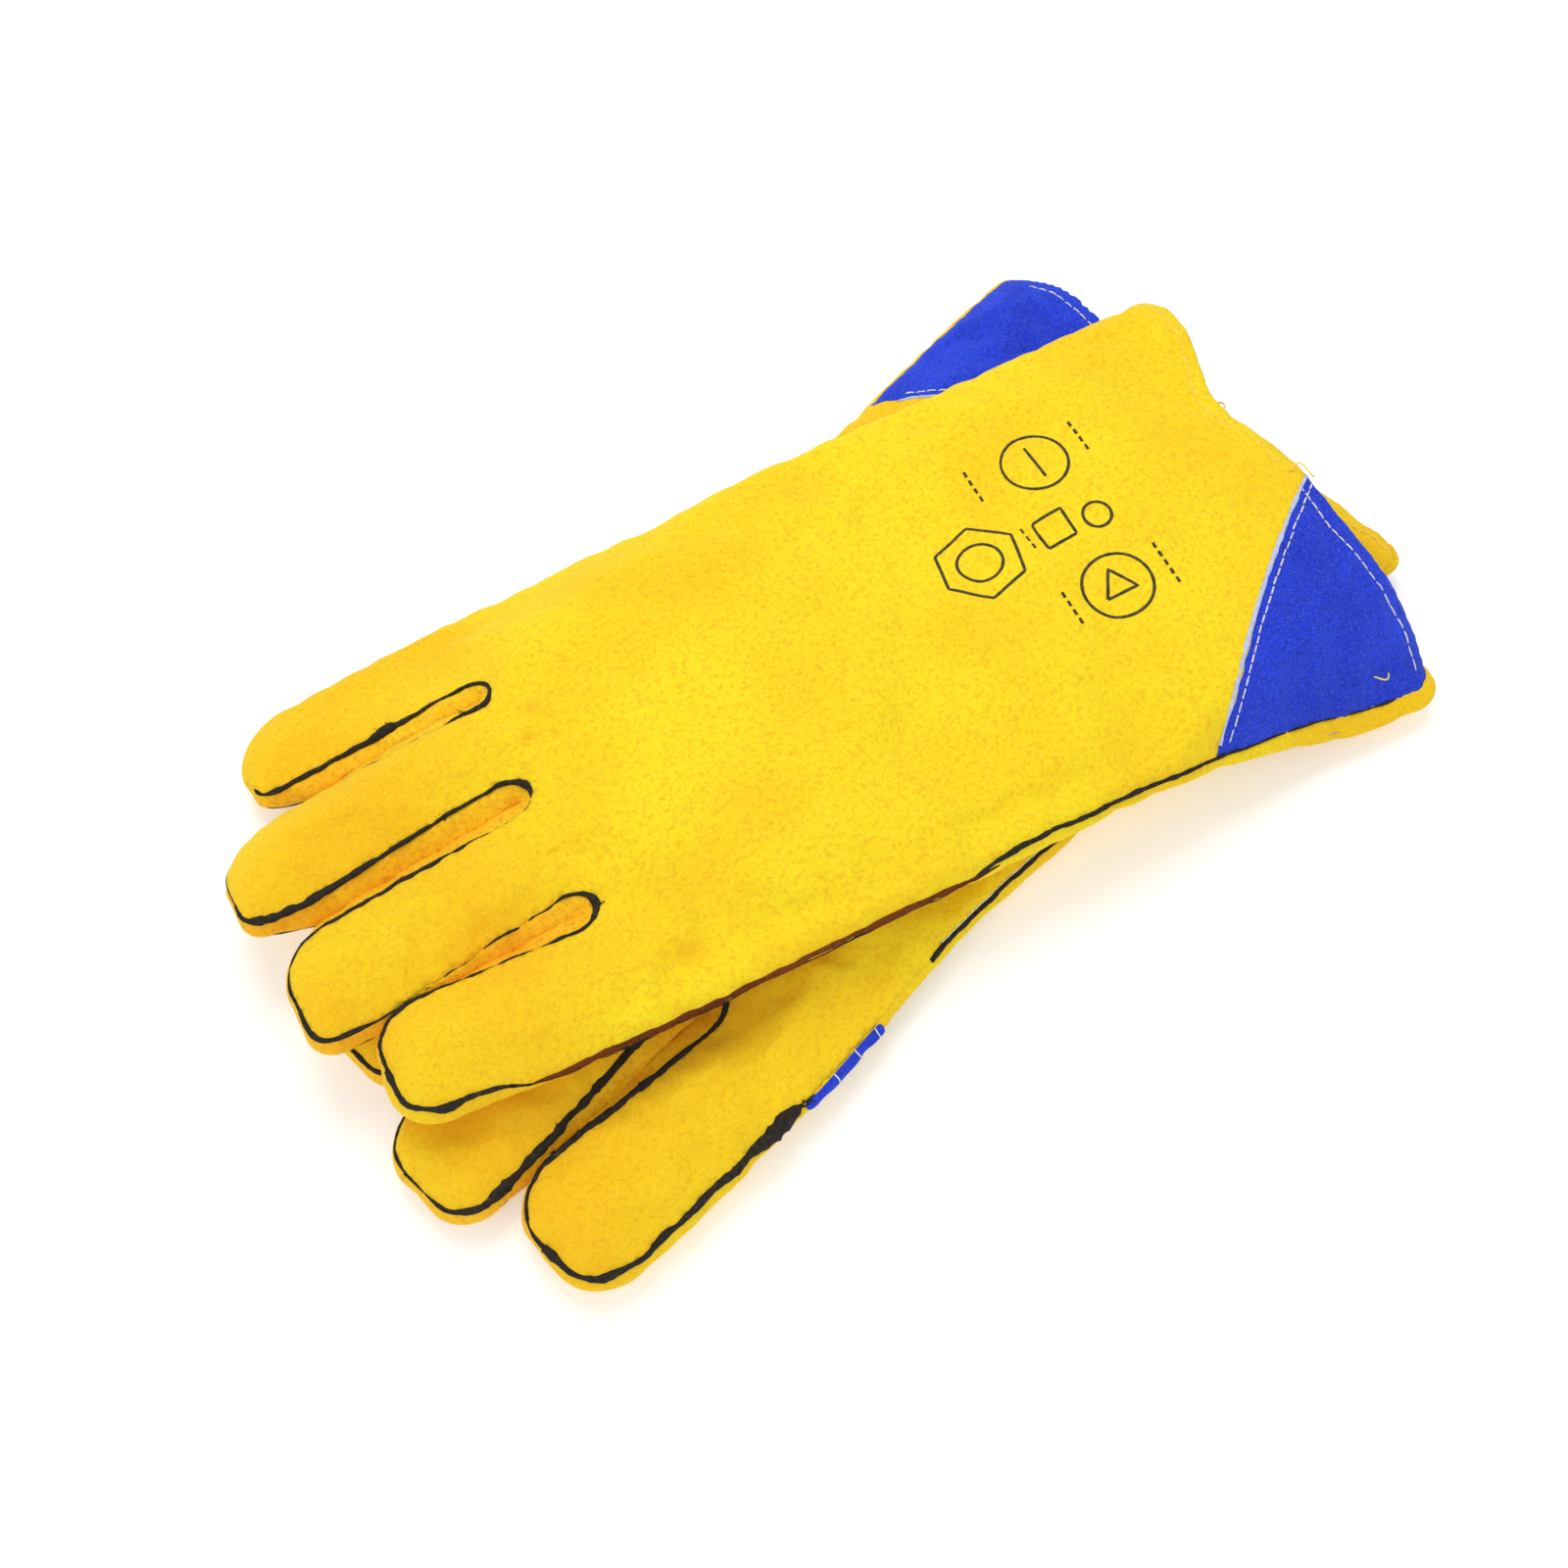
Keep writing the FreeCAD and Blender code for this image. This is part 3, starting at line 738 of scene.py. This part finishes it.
def make_materials():
    made = {}
    made["yellow"] = suede("yellow_suede", (0.98, 0.77, 0.012), (0.96, 0.55, 0.008), (0.86, 0.42, 0.004),
                           (1.0, 0.88, 0.08), 0.62, True)
    # A deeper orange copy of the yellow suede for the forchettes: its orange is painted shade and bounced
    # light deep in the finger gaps.
    made["side"] = suede("side_suede", (1.0, 0.62, 0.012), (0.98, 0.44, 0.008), (0.72, 0.24, 0.004),
                         (1.0, 0.80, 0.08), 0.6)
    made["blue"] = suede("blue_suede", (0.016, 0.052, 0.74), (0.010, 0.03, 0.50), (0.004, 0.012, 0.26),
                           (0.15, 0.25, 0.92), 0.6)
    # Pale blue for the patch's folded edge: partly the lighter cut edge of the suede, partly a painted
    # highlight where the fold catches the light.
    made["fold"] = suede("pale_blue_fold_highlight", (0.46, 0.54, 0.86), (0.74, 0.78, 0.92), (0.05, 0.10, 0.5),
                         (0.85, 0.88, 0.95))
    # Dark brown suede whose colour is painted shadow: the contact shadow under the upper glove's thumb-side
    # edge.
    made["painted_shadow_brown"] = suede("painted_shadow_suede", (0.12, 0.024, 0.003), (0.20, 0.05, 0.005), (0.04, 0.008, 0.002),
                          (0.32, 0.10, 0.012), 0.5)
    welt = Nodes("black_welt")
    fray = welt.noise(700.0, 5.0, 0.7)
    tone = welt.ramp(fray, [(0.35, (0.008, 0.006, 0.005)), (0.62, (0.035, 0.028, 0.022)),
                            (0.78, (0.16, 0.11, 0.06))])
    welt.bump(welt.math("ADD", fray, welt.noise(220.0, 4.0, 0.6)), 0.6, 0.0006)
    made["welt"] = welt.set(Base_Color=tone, Roughness=welt.ramp(fray, [(0.3, 0.6), (0.7, 0.9)]),
                            Specular_IOR_Level=0.2)
    ink = Nodes("print_ink")
    worn = ink.noise(800.0, 5.0, 0.7)
    faded = ink.ramp(worn, [(0.40, (0.012, 0.011, 0.010)), (0.66, (0.10, 0.075, 0.02))])
    made["ink"] = ink.set(Base_Color=faded, Roughness=0.75)
    for name, colour, dark in (("yellow_thread", (1.0, 0.80, 0.10), (0.90, 0.58, 0.05)),
                               ("cream_thread", (0.86, 0.84, 0.74), (0.50, 0.47, 0.38))):
        n = Nodes(name)
        twist = n.noise(1500.0, 2.0, 0.5)
        n.bump(twist, 0.5, 0.0002)
        made[name] = n.set(Base_Color=n.mix(dark, colour, n.ramp(twist, [(0.35, 0.0), (0.55, 1.0)])),
                           Roughness=0.6, Sheen_Weight=0.3)
    for name, colour, dark, scale in (("fleece", (0.80, 0.77, 0.70), (0.52, 0.48, 0.42), 420.0),
                                      ("canvas", (0.70, 0.66, 0.56), (0.42, 0.38, 0.30), 900.0)):
        n = Nodes(name)
        pile = n.noise(scale, 6.0, 0.7)
        n.bump(n.math("ADD", pile, n.cells(scale)), 0.8, 0.0008)
        made[name] = n.set(Base_Color=n.mix(dark, colour, n.ramp(pile, [(0.35, 0.0), (0.6, 1.0)])),
                           Roughness=0.95, Sheen_Weight=0.5)
    return made


MAT = make_materials()


# ---------------------------------------------------------------- pieces of one glove

def welt_path(shell, tag, strip):
    """The seam points of one stretch of the outline, on the top (strip 0) or bottom rim (-1)."""
    picked = shell.stretch(tag)
    picked = [picked[0] - 1] + picked + [(picked[-1] + 1) % len(shell.tags)]
    return shell.fine[shell.strips[strip][picked]]


def wall_path(shell, tag, depth_at):
    """A line along the wall; depth_at(u) is 0 at its upper edge and 1 at its lower one."""
    rows = len(shell.strips) - 1
    line = []
    for i, t in enumerate(shell.tags):
        if t == tag:
            depth = rows * float(np.clip(depth_at(shell.loop[i][0]), 0.0, 0.999))
            k = int(depth)
            a, b = (shell.fine[shell.strips[j][i]] for j in (k, k + 1))
            line.append(a + (b - a) * (depth - k))
    return np.array(line)


def eased(path, rounds=3):
    """The path with its corners rounded off."""
    for _ in range(rounds):
        path[1:-1] = 0.25 * path[:-2] + 0.5 * path[1:-1] + 0.25 * path[2:]
    return path


def welt_tube(path, seed, widths):
    """A folded leather welt: a flattened bead of uneven width that wanders a little.
    widths is half its width, or (share of the way, half width) pairs."""
    spacing = 1.2
    path = eased(resample(path, spacing))
    s = np.arange(len(path)) * spacing
    if not np.isscalar(widths):
        widths = np.interp(s / s[-1], *np.array(widths).T)
    uneven = ripple(s / 5.0, seed, 0.0)
    fine = ripple(s / 1.7, seed, 4.0)
    radius = widths * (1.0 + 0.35 * uneven + 0.30 * fine)
    wander = np.column_stack([ripple(s / 8.0, seed, k) for k in (1.0, 2.0, 3.0)])
    sink = np.zeros((len(s), 3))
    sink[:, 2] = -0.8 * np.clip(0.7 - radius, 0.0, 0.7)
    return tube(path + 0.4 * wander + sink, radius, flat=0.85)


def on_skin(shell, line, lift):
    """Plan points laid on the upper skin; lift is how far above it, for all or for each."""
    line = np.asarray(line, float)
    flat = shell.drape(np.column_stack([line, np.full(len(line), OVER)]))
    out = []
    for p, height in zip(flat, np.broadcast_to(lift, len(line))):
        hit = shell.tree.ray_cast(Vector((p[0], p[1], ABOVE)), Vector((0.0, 0.0, -1.0)))[0]
        if hit is not None:
            out.append((hit.x, hit.y, hit.z + height))
    return out


def stitches(shell, lines):
    """Short lengths of thread laid on the upper skin along plan lines, with their ends sunk."""
    length, pitch = STITCH
    lifts = [0.2 * w for w in (-0.5, 0.6, 1.0, 1.0, 0.6, -0.5)]
    parts = []
    rng = np.random.default_rng(int(shell.seed * 100) + len(lines))
    for line in lines:
        line = np.asarray(line, float)
        for a in np.arange(0.0, run_length(line)[-1] - length, pitch):
            stitch = points_at(line, a + length * np.linspace(0.0, 1.0, len(lifts)))
            stitch[:, 1] += rng.uniform(-0.25, 0.25)
            pts = on_skin(shell, stitch, lifts)
            if len(pts) == len(lifts):
                parts.append(tube(pts, THREAD * rng.uniform(0.85, 1.15), 6, 0.8))
    return joined(parts)


def leather_tone(shell):
    """How far the colour leans to orange: pale over the back of the hand, deeper on fingers and edges."""
    along, across, turn, _ = shell.place
    x, y = shell.fine[:, 0] - along, shell.fine[:, 1] - across
    u = -(math.cos(turn) * x + math.sin(turn) * y)
    v = math.sin(turn) * x - math.cos(turn) * y
    tone = 0.55 * smooth((u - 225.0) / 70.0) + 0.22 * smooth((60.0 - u) / 60.0)
    tone += (0.25 * smooth((v - 45.0) / 35.0) * (u < CROTCH)
             + 0.25 * smooth((-v - 40.0) / 20.0) * smooth((u - 240.0) / 50.0))
    if shell.side == "left":
        tone = 0.45 + 0.5 * tone
    cloud = ripple(u / 38.0, v / 30.0, shell.seed)
    scuffs = sum(bump(u, at_u, long) * bump(v, at_v, wide) for at_u, at_v, long, wide in SCUFFS[shell.side])
    return np.clip(tone + 0.45 * cloud + 0.8 * scuffs, 0.0, 1.0)


def cut_area(shell, kinds):
    """Area in square metres of the flat leather that the named parts of the shell were cut from."""
    corners = [(f[0], b, c) for f, k in zip(shell.all_faces, shell.kinds) if k in kinds
               for b, c in zip(f[1:-1], f[2:])]
    a, b, c = (shell.local[np.array(column)] for column in zip(*corners))
    return float(0.5 * np.linalg.norm(np.cross(b - a, c - a), axis=1).sum()) * MM * MM


def cut_size(shell, kind):
    """Width and length in metres of the blank that one part was cut from."""
    if kind.startswith("forchette"):
        line = shell.loop[shell.stretch("gap%d" % GAPS.index(tuple(kind.split("_")[1:])))]
        return THICK * MM, float(run_length(line)[-1]) * MM
    if kind.endswith("patch"):
        shorter = PALM_PATCH_SHARE if kind.startswith("palm") else 1.0
        return (PATCH_END[1] - PATCH_START[1]) * MM, shorter * (PATCH_END[0] - PATCH_START[0]) * MM
    sides = 2.0 * THICK if kind == "back_leather" else 0.0
    return (2.0 * CUFF_HALF + SEAM + sides) * MM, (REACH + SEAM) * MM


def vertex_normals(verts, faces):
    normals = np.zeros_like(verts)
    for f in faces:
        a, b, c = verts[f[0]], verts[f[1]], verts[f[2]]
        normals[f] += np.cross(b - a, c - a)
    return normals / (np.linalg.norm(normals, axis=1)[:, None] + 1e-12)


def build_inside(shell):
    """The linings: the shell again, drawn in behind the leather, open at the cuff."""
    outer = shell.fine[:len(shell.verts)]
    inner = outer - LINING_DEPTH * vertex_normals(outer, shell.all_faces)
    u = shell.local[:, 0]
    from_cuff = u - cuff_edge(shell.side, shell.local[:, 1])
    level = np.clip(LINING_MARGIN - from_cuff, 0.0, 4.0)    # brings its ragged end to one line
    inner[:, 0] -= math.cos(shell.place[2]) * level
    inner[:, 1] -= math.sin(shell.place[2]) * level
    zones = {"hand_lining": (LINING_CHANGE, math.inf, "fleece"),
             "cuff_lining": (0.0, LINING_CHANGE, "canvas")}
    for name, (low, high, look) in zones.items():
        faces = [f[::-1] for f, kind in zip(shell.all_faces, shell.kinds)
                 if kind != "cap" and low <= max(u[f].mean(), 0.0) < high and from_cuff[f].mean() > 6.0]
        cloth = piece(shell, name + "_cloth", (inner, faces), look, name, 0.6)
        flat = ((4.0 * CUFF_HALF + 2.0 * THICK) * MM, (min(high, REACH) - low) * MM)


def frayed(spot, along, seed, reach):
    """A small tuft of torn leather fibres where a welt is worn or ends."""
    rng = np.random.default_rng(seed)
    parts = []
    for _ in range(5):
        way = np.asarray(along) * rng.uniform(0.2, 1.0) + rng.normal(0.0, 0.55, 3)
        way[2] = abs(way[2]) * 0.5
        root = np.asarray(spot) + rng.normal(0.0, 0.7, 3) * (1.0, 1.0, 0.4)
        curl = rng.normal(0.0, 0.35, 3)
        pts = [root + reach * t * (way + curl * t) for t in (0.0, 0.33, 0.66, 1.0)]
        parts.append(tube(pts, np.array([0.34, 0.26, 0.17, 0.06]) * rng.uniform(0.6, 1.3), 5))
    return parts


def build_side_welt(shell):
    """The welt from the index fingertip to the cuff; on the left glove the thumb strap breaks it."""
    us = shell.loop[shell.stretch("radial"), 0]
    if shell.side == "left":
        line = wall_path(shell, "radial", lambda u: 0.0)
        cuff_part = line[(us > 8.0) & (us < STRAP[0] - 22.0)]
        finger_part = line[us > STRAP[1] + 1.0]
        torn = [(0, 0.3), (0.03, 2.2), (0.08, 2.9), (0.16, 2.5), (0.22, 1.6), (0.35, 1.1), (0.7, 1.1),
                (1, 1.2)]
        parts = [welt_tube(cuff_part, shell.seed + 7.0, 0.85), welt_tube(finger_part, shell.seed + 8.0, torn)]
        toward_cuff = finger_part[0] - finger_part[3]
        toward_cuff /= np.linalg.norm(toward_cuff)
        for i, spot in enumerate(finger_part[:3]):
            parts += frayed(spot, toward_cuff, int(shell.seed * 7) + i, 2.2)
        wrist = cuff_part[-18:-2] + np.array([0.0, 0.6, 0.7])
        thread = tube(eased(resample(wrist, 1.5), 2), 0.24, 6)
        piece(shell, "wrist_seam_thread", thread, "cream_thread")
    else:
        line = wall_path(shell, "radial",
                         lambda u: 0.6 * smooth((u - 145.0) / 30.0) * smooth((312.0 - u) / 30.0))
        order = [(0.0, 0.4), (0.17, 0.4), (0.22, 0.85), (0.42, 0.9), (0.46, 0.5), (0.85, 0.5), (0.9, 0.8),
                 (0.93, 1.4), (0.95, 1.0), (1.0, 1.0)]
        parts = [welt_tube(line[us > 6.0], shell.seed + 7.0, order)]
        # A brown bead on the wall below the welt: painted shadow where this edge lies over the lower glove.
        shadow_band_line = wall_path(shell, "radial", lambda u: 0.3)[(us > 150.0) & (us < 300.0)]
        bead = welt_tube(shadow_band_line, shell.seed + 9.0, [(0, 0.3), (0.1, 1.0), (0.9, 1.1), (1, 0.3)])
        piece(shell, "side_painted_shadow_band", bead, "painted_shadow_brown")
    piece(shell, "palm_welt_index_side_bead", joined(parts), "welt", "palm_welt_index_side")


def build_strap(shell):
    """The blue strap over the thumb crotch, on the palm side of the wall."""
    upper = shell.top == "palm"
    outer = shell.verts + (0.9 if upper else 0.3) * vertex_normals(shell.verts, shell.all_faces)
    strips = shell.strips[:3] if upper else shell.strips[3:]
    faces = []
    for i, tag in enumerate(shell.tags):
        j = (i + 1) % len(shell.tags)
        if tag == "radial" and STRAP[0] < shell.loop[i][0] < STRAP[1]:
            for a, b in zip(strips[:-1], strips[1:]):
                faces.append([int(a[i]), int(a[j]), int(b[j]), int(b[i])])
    strap = piece(shell, "thumb_strap_leather", (outer, faces), "blue", "thumb_strap", 1.1)
    strap.modifiers.new("round", "SUBSURF").levels = 2
    if upper:
        rows = shell.stretch("radial")
        ticks = []
        for share in (0.18, 0.45, 0.72):
            u = STRAP[0] + share * (STRAP[1] - STRAP[0])
            i = min(rows, key=lambda k: abs(shell.loop[k][0] - u))
            over = [outer[int(strip[i])] + np.array([0.0, 0.0, 1.2]) for strip in strips]
            ticks.append(tube(over, 0.22, 6))
        piece(shell, "thumb_strap_ticks", joined(ticks), "cream_thread")


def build_thumb(shell):
    """The flattened thumb: two leathers sewn round a welt, narrower at the root."""
    base, tip, half = THUMB
    turn, stack = shell.place[2:]
    joint = next(j for j in frame["joints"] if j["name"] == shell.side + "_thumb_swing")
    pivot = (np.array(joint["pos_m"]) / MM)[:2]
    heading = math.pi - math.radians(8.0) + turn
    forward = np.array([math.cos(heading), math.sin(heading)])
    sideways = np.array([-forward[1], forward[0]])
    middle, depth = stack + 4.3, 3.9
    cols, rows = 34, 15

    def width(x):
        end = tip - half
        root = 0.52 + 0.48 * float(smooth((x - base) / 45.0))
        return half * root if x < end else math.sqrt(max(0.0, half * half - (x - end) ** 2))
    xs = [base + (tip - 0.4 - base) * (1.0 - (1.0 - i / (cols - 1)) ** 1.6) for i in range(cols)]
    for half_name, sign in (("over", 1.0), ("under", -1.0)):
        verts, faces = [], []
        for x in xs:
            w = width(x)
            for k in range(rows):
                t = -1.0 + 2.0 * k / (rows - 1)
                rise = depth * (1.0 - abs(t) ** 2.4) * min(1.0, w / 9.0) + 0.2
                rise -= 0.5 * abs(noise.noise(Vector((x / 13.0, t * 1.6, shell.seed + sign))))
                p = pivot + x * forward + t * w * sideways
                verts.append(np.array([p[0], p[1], middle + sign * max(0.25, rise)]))
        for i in range(cols - 1):
            row = range(i * rows, (i + 1) * rows)
            faces += band(row, [k + rows for k in row], False)
        if sign > 0:
            faces = [quad[::-1] for quad in faces]
        node = "thumb_leather_" + half_name
        skin = piece(shell, node + "_skin", (verts, faces), "yellow", node, 0.9, body="thumb")
    seam = [pivot + x * forward - width(x) * sideways for x in xs]
    seam += [pivot + x * forward + width(x) * sideways for x in reversed(xs)]
    bead = welt_tube([(p[0], p[1], middle) for p in seam], shell.seed + 3.0, 1.0)
    piece(shell, "thumb_welt_bead", bead, "welt", "thumb_welt", body="thumb")


def ring(u, v, radius, corners=36, turn=0.0):
    """A regular figure round a plan point."""
    angles = 2.0 * math.pi * np.linspace(0.0, 1.0, corners + 1) + turn
    return np.column_stack([u + radius * np.cos(angles), v + radius * np.sin(angles)])


def build_print(shell):
    """Plain printed figures on the cuff: rings, a hexagon and rows of dashes, with no lettering."""
    dash, pitch = 2.0, 3.4
    lines = [ring(108.0, -9.7, 14.0, 6, 0.3), ring(108.0, -9.7, 7.0),
             ring(75.0, -32.6, 10.5), [(75.0, -39.1), (75.0, -26.1)],
             ring(82.0, -9.0, 7.0, 4, 0.8), ring(68.0, -7.0, 4.5),
             ring(75.6, 17.4, 11.0), ring(75.6, 17.4, 6.0, 3, 0.5)]
    for u, v, count in ((94.6, -35.5, 4), (57.8, -34.2, 4), (90.6, -9.6, 3), (92.0, 18.6, 4),
                        (58.6, 18.4, 5)):
        first = v - 0.5 * pitch * count
        lines += [[(u, first + pitch * k), (u + 0.1, first + pitch * k + dash)] for k in range(count)]
    parts = []
    for line in lines:
        line = np.asarray(line, float)
        length = run_length(line)[-1]
        plan = points_at(line, np.linspace(0.0, length, max(4, int(length / 0.9))))
        path = np.array(on_skin(shell, plan, 0.05))
        if len(path) > 3:
            wide = 0.50 + 0.12 * ripple(path[:, 0] * 0.7, path[:, 1] * 0.7, 2.0)
            parts.append(tube(path, wide, 6, 0.18))
    piece(shell, "cuff_print", joined(parts), "ink")


def build_tails(shell):
    """Loose ends of the sewing thread at the cuff edge."""
    length, curl, arch = 7.5, 2.2, 1.4
    sign = 1.0 if shell.top == "back" else -1.0
    rng = np.random.default_rng(int(shell.seed * 13))
    parts = []
    for u, v in ((7.0, -sign * 31.0), (6.0, sign * 7.0), (8.0, sign * 73.0)):
        root = on_skin(shell, [(u, v)], 0.4)
        if not root:
            continue
        x, y, z = root[0]
        way = rng.normal(0.0, 1.0, 2)
        way /= np.linalg.norm(way)
        side_way = np.array([-way[1], way[0]])
        pts = []
        for t in np.linspace(0.0, 1.0, 12):
            flat = way * length * t + side_way * curl * math.sin(4.6 * t)
            pts.append((x + flat[0], y + flat[1], z + arch * math.sin(math.pi * t)))
        parts.append(tube(pts, 0.28, 6))
    piece(shell, "hem_thread_ends", joined(parts), "yellow_thread")


def build_leathers(shell):
    """The leathers, patches and forchettes, each cut from the one shell."""
    by_kind = {}
    for face, kind in zip(shell.fine_faces, shell.fine_kinds):
        by_kind.setdefault(kind, []).append(face)
    tone = leather_tone(shell)
    looks = {"leather": "yellow", "patch": "blue"}
    for kind, faces in by_kind.items():
        if kind == "cap":
            continue
        # Forchettes fall through to the deeper orange suede, painted shade of the finger gaps.
        look = looks.get(kind.split("_")[-1], "side")
        skin = piece(shell, kind + "_skin", (shell.fine, faces), look, kind, LEATHER, tone)
        cut_size(shell, kind)
        cut_area(shell, {kind})


def build_welts(shell):
    """The welts of both faces round the finger gaps."""
    for face, strip in ((shell.top, 0), (shell.bottom, -1)):
        for rank, pair in enumerate(GAPS):
            path = welt_path(shell, "gap%d" % rank, strip)
            upper = strip == 0
            widths = WELTS[shell.side][rank] if upper else UNDER_WELT
            parts = [welt_tube(path, shell.seed + rank + 10 * strip, widths)]
            for share in FRAYS[shell.side][rank] if upper else ():
                spot = path[int(share * (len(path) - 1))]
                parts += frayed(spot, (0.2, 0.6, 0.1), int(shell.seed * 11) + rank + int(100 * share), 1.4)
            name = "%s_welt_%s_%s" % (face, *pair)
            piece(shell, name + "_bead", joined(parts), "welt", name)


def build_threads(shell):
    """The stitches of the hem and of the corner patch, and the patch's folded edge."""
    sign = 1.0 if shell.top == "back" else -1.0
    cuff = shell.loop[shell.stretch("cap")]
    cuff = cuff[np.argsort(cuff[:, 1])]

    def cuff_u(v):
        return np.interp(v, cuff[:, 1], cuff[:, 0])
    vs = np.linspace(-sign * 77.0, sign * 3.0, 40)
    hem = [(cuff_u(v) + 5.0 + 0.5 * math.sin(v / 7.0), v) for v in vs]
    piece(shell, "cuff_hem_thread", stitches(shell, [hem]), "yellow_thread", "cuff_hem_stitching")
    vs = np.linspace(sign * 12.0, sign * 76.0, 30)
    line = patch_line(sign)
    rows = [[(cuff_u(v) + 5.5, v) for v in vs], line[2:-2] + np.array([-0.72, 0.70 * sign]) * 2.8]
    piece(shell, "patch_thread", stitches(shell, rows), "cream_thread", "patch_stitching")
    # The folded edge in pale blue, partly painted highlight along the fold.
    ts = np.linspace(0.03, 0.93, 90)
    shares = np.linspace(0.0, 1.0, len(line))
    plan = np.column_stack([np.interp(ts, shares, column) for column in line.T])
    fold = np.array(on_skin(shell, plan, 0.1))
    wide = 0.6 + 0.5 * ripple(fold[:, 0] / 3.0, fold[:, 1] / 3.0, shell.seed)
    piece(shell, "patch_folded_edge", tube(fold, wide, flat=0.6), "fold")


def build(side, top, bottom, seed):
    """One whole glove."""
    shell = Shell(side, top, bottom, place_of(side), seed)
    settle(shell)
    refine(shell)
    shell.tree = BVHTree.FromPolygons([tuple(v) for v in shell.fine], shell.fine_faces)
    for step in (build_leathers, build_inside, build_strap, build_welts, build_side_welt, build_threads):
        step(shell)
    if side == "right":
        build_tails(shell)
        build_print(shell)
    build_thumb(shell)


build("left", "palm", "back", 1.3)
build("right", "back", "palm", 4.7)


# ---------------------------------------------------------------- studio

def area_light(name, place, size, power):
    """A round lamp that points at the middle of the floor."""
    data = bpy.data.lights.new(name, "AREA")
    data.shape, data.size, data.energy = "DISK", size, power
    lamp = bpy.data.objects.new(name, data)
    lamp.location = place
    lamp.rotation_euler = (-Vector(place)).to_track_quat("-Z", "Y").to_euler()
    bpy.context.scene.collection.objects.link(lamp)


def studio():
    scene = bpy.context.scene
    scene.view_settings.view_transform = "Standard"
    world = bpy.data.worlds.new("white_room")
    world.use_nodes = True
    background = world.node_tree.nodes["Background"]
    background.inputs["Color"].default_value = (1.0, 1.0, 1.0, 1.0)
    background.inputs["Strength"].default_value = 0.66
    scene.world = world
    floor = new_object("floor", [(-6, -6, 0), (6, -6, 0), (6, 6, 0), (-6, 6, 0)], [[0, 1, 2, 3]])
    n = Nodes("floor_white")
    n.shader.inputs["Emission Color"].default_value = (1.0, 1.0, 1.0, 1.0)
    floor.data.materials.append(n.set(Base_Color=(0.95, 0.95, 0.95), Roughness=0.9, Emission_Strength=0.22))
    area_light("key", (0.35, 0.55, 1.3), 0.9, 8.0)
    area_light("fill", (-0.9, -0.4, 1.0), 1.2, 3.5)
    camera = bpy.data.cameras.new("camera")
    camera.sensor_width, camera.lens = 36.0, 45.5
    eye = bpy.data.objects.new("camera", camera)
    azimuth, elevation, away = math.radians(314.2), math.radians(63.2), 0.60
    back = Vector((math.sin(azimuth) * math.cos(elevation), -math.cos(azimuth) * math.cos(elevation),
                   math.sin(elevation)))
    aim = Vector((-0.0246, -0.0043, 0.015))
    eye.location = aim + back * away
    eye.rotation_mode = "QUATERNION"
    eye.rotation_quaternion = (-back).to_track_quat("-Z", "Y")
    scene.collection.objects.link(eye)
    scene.camera = eye


studio()
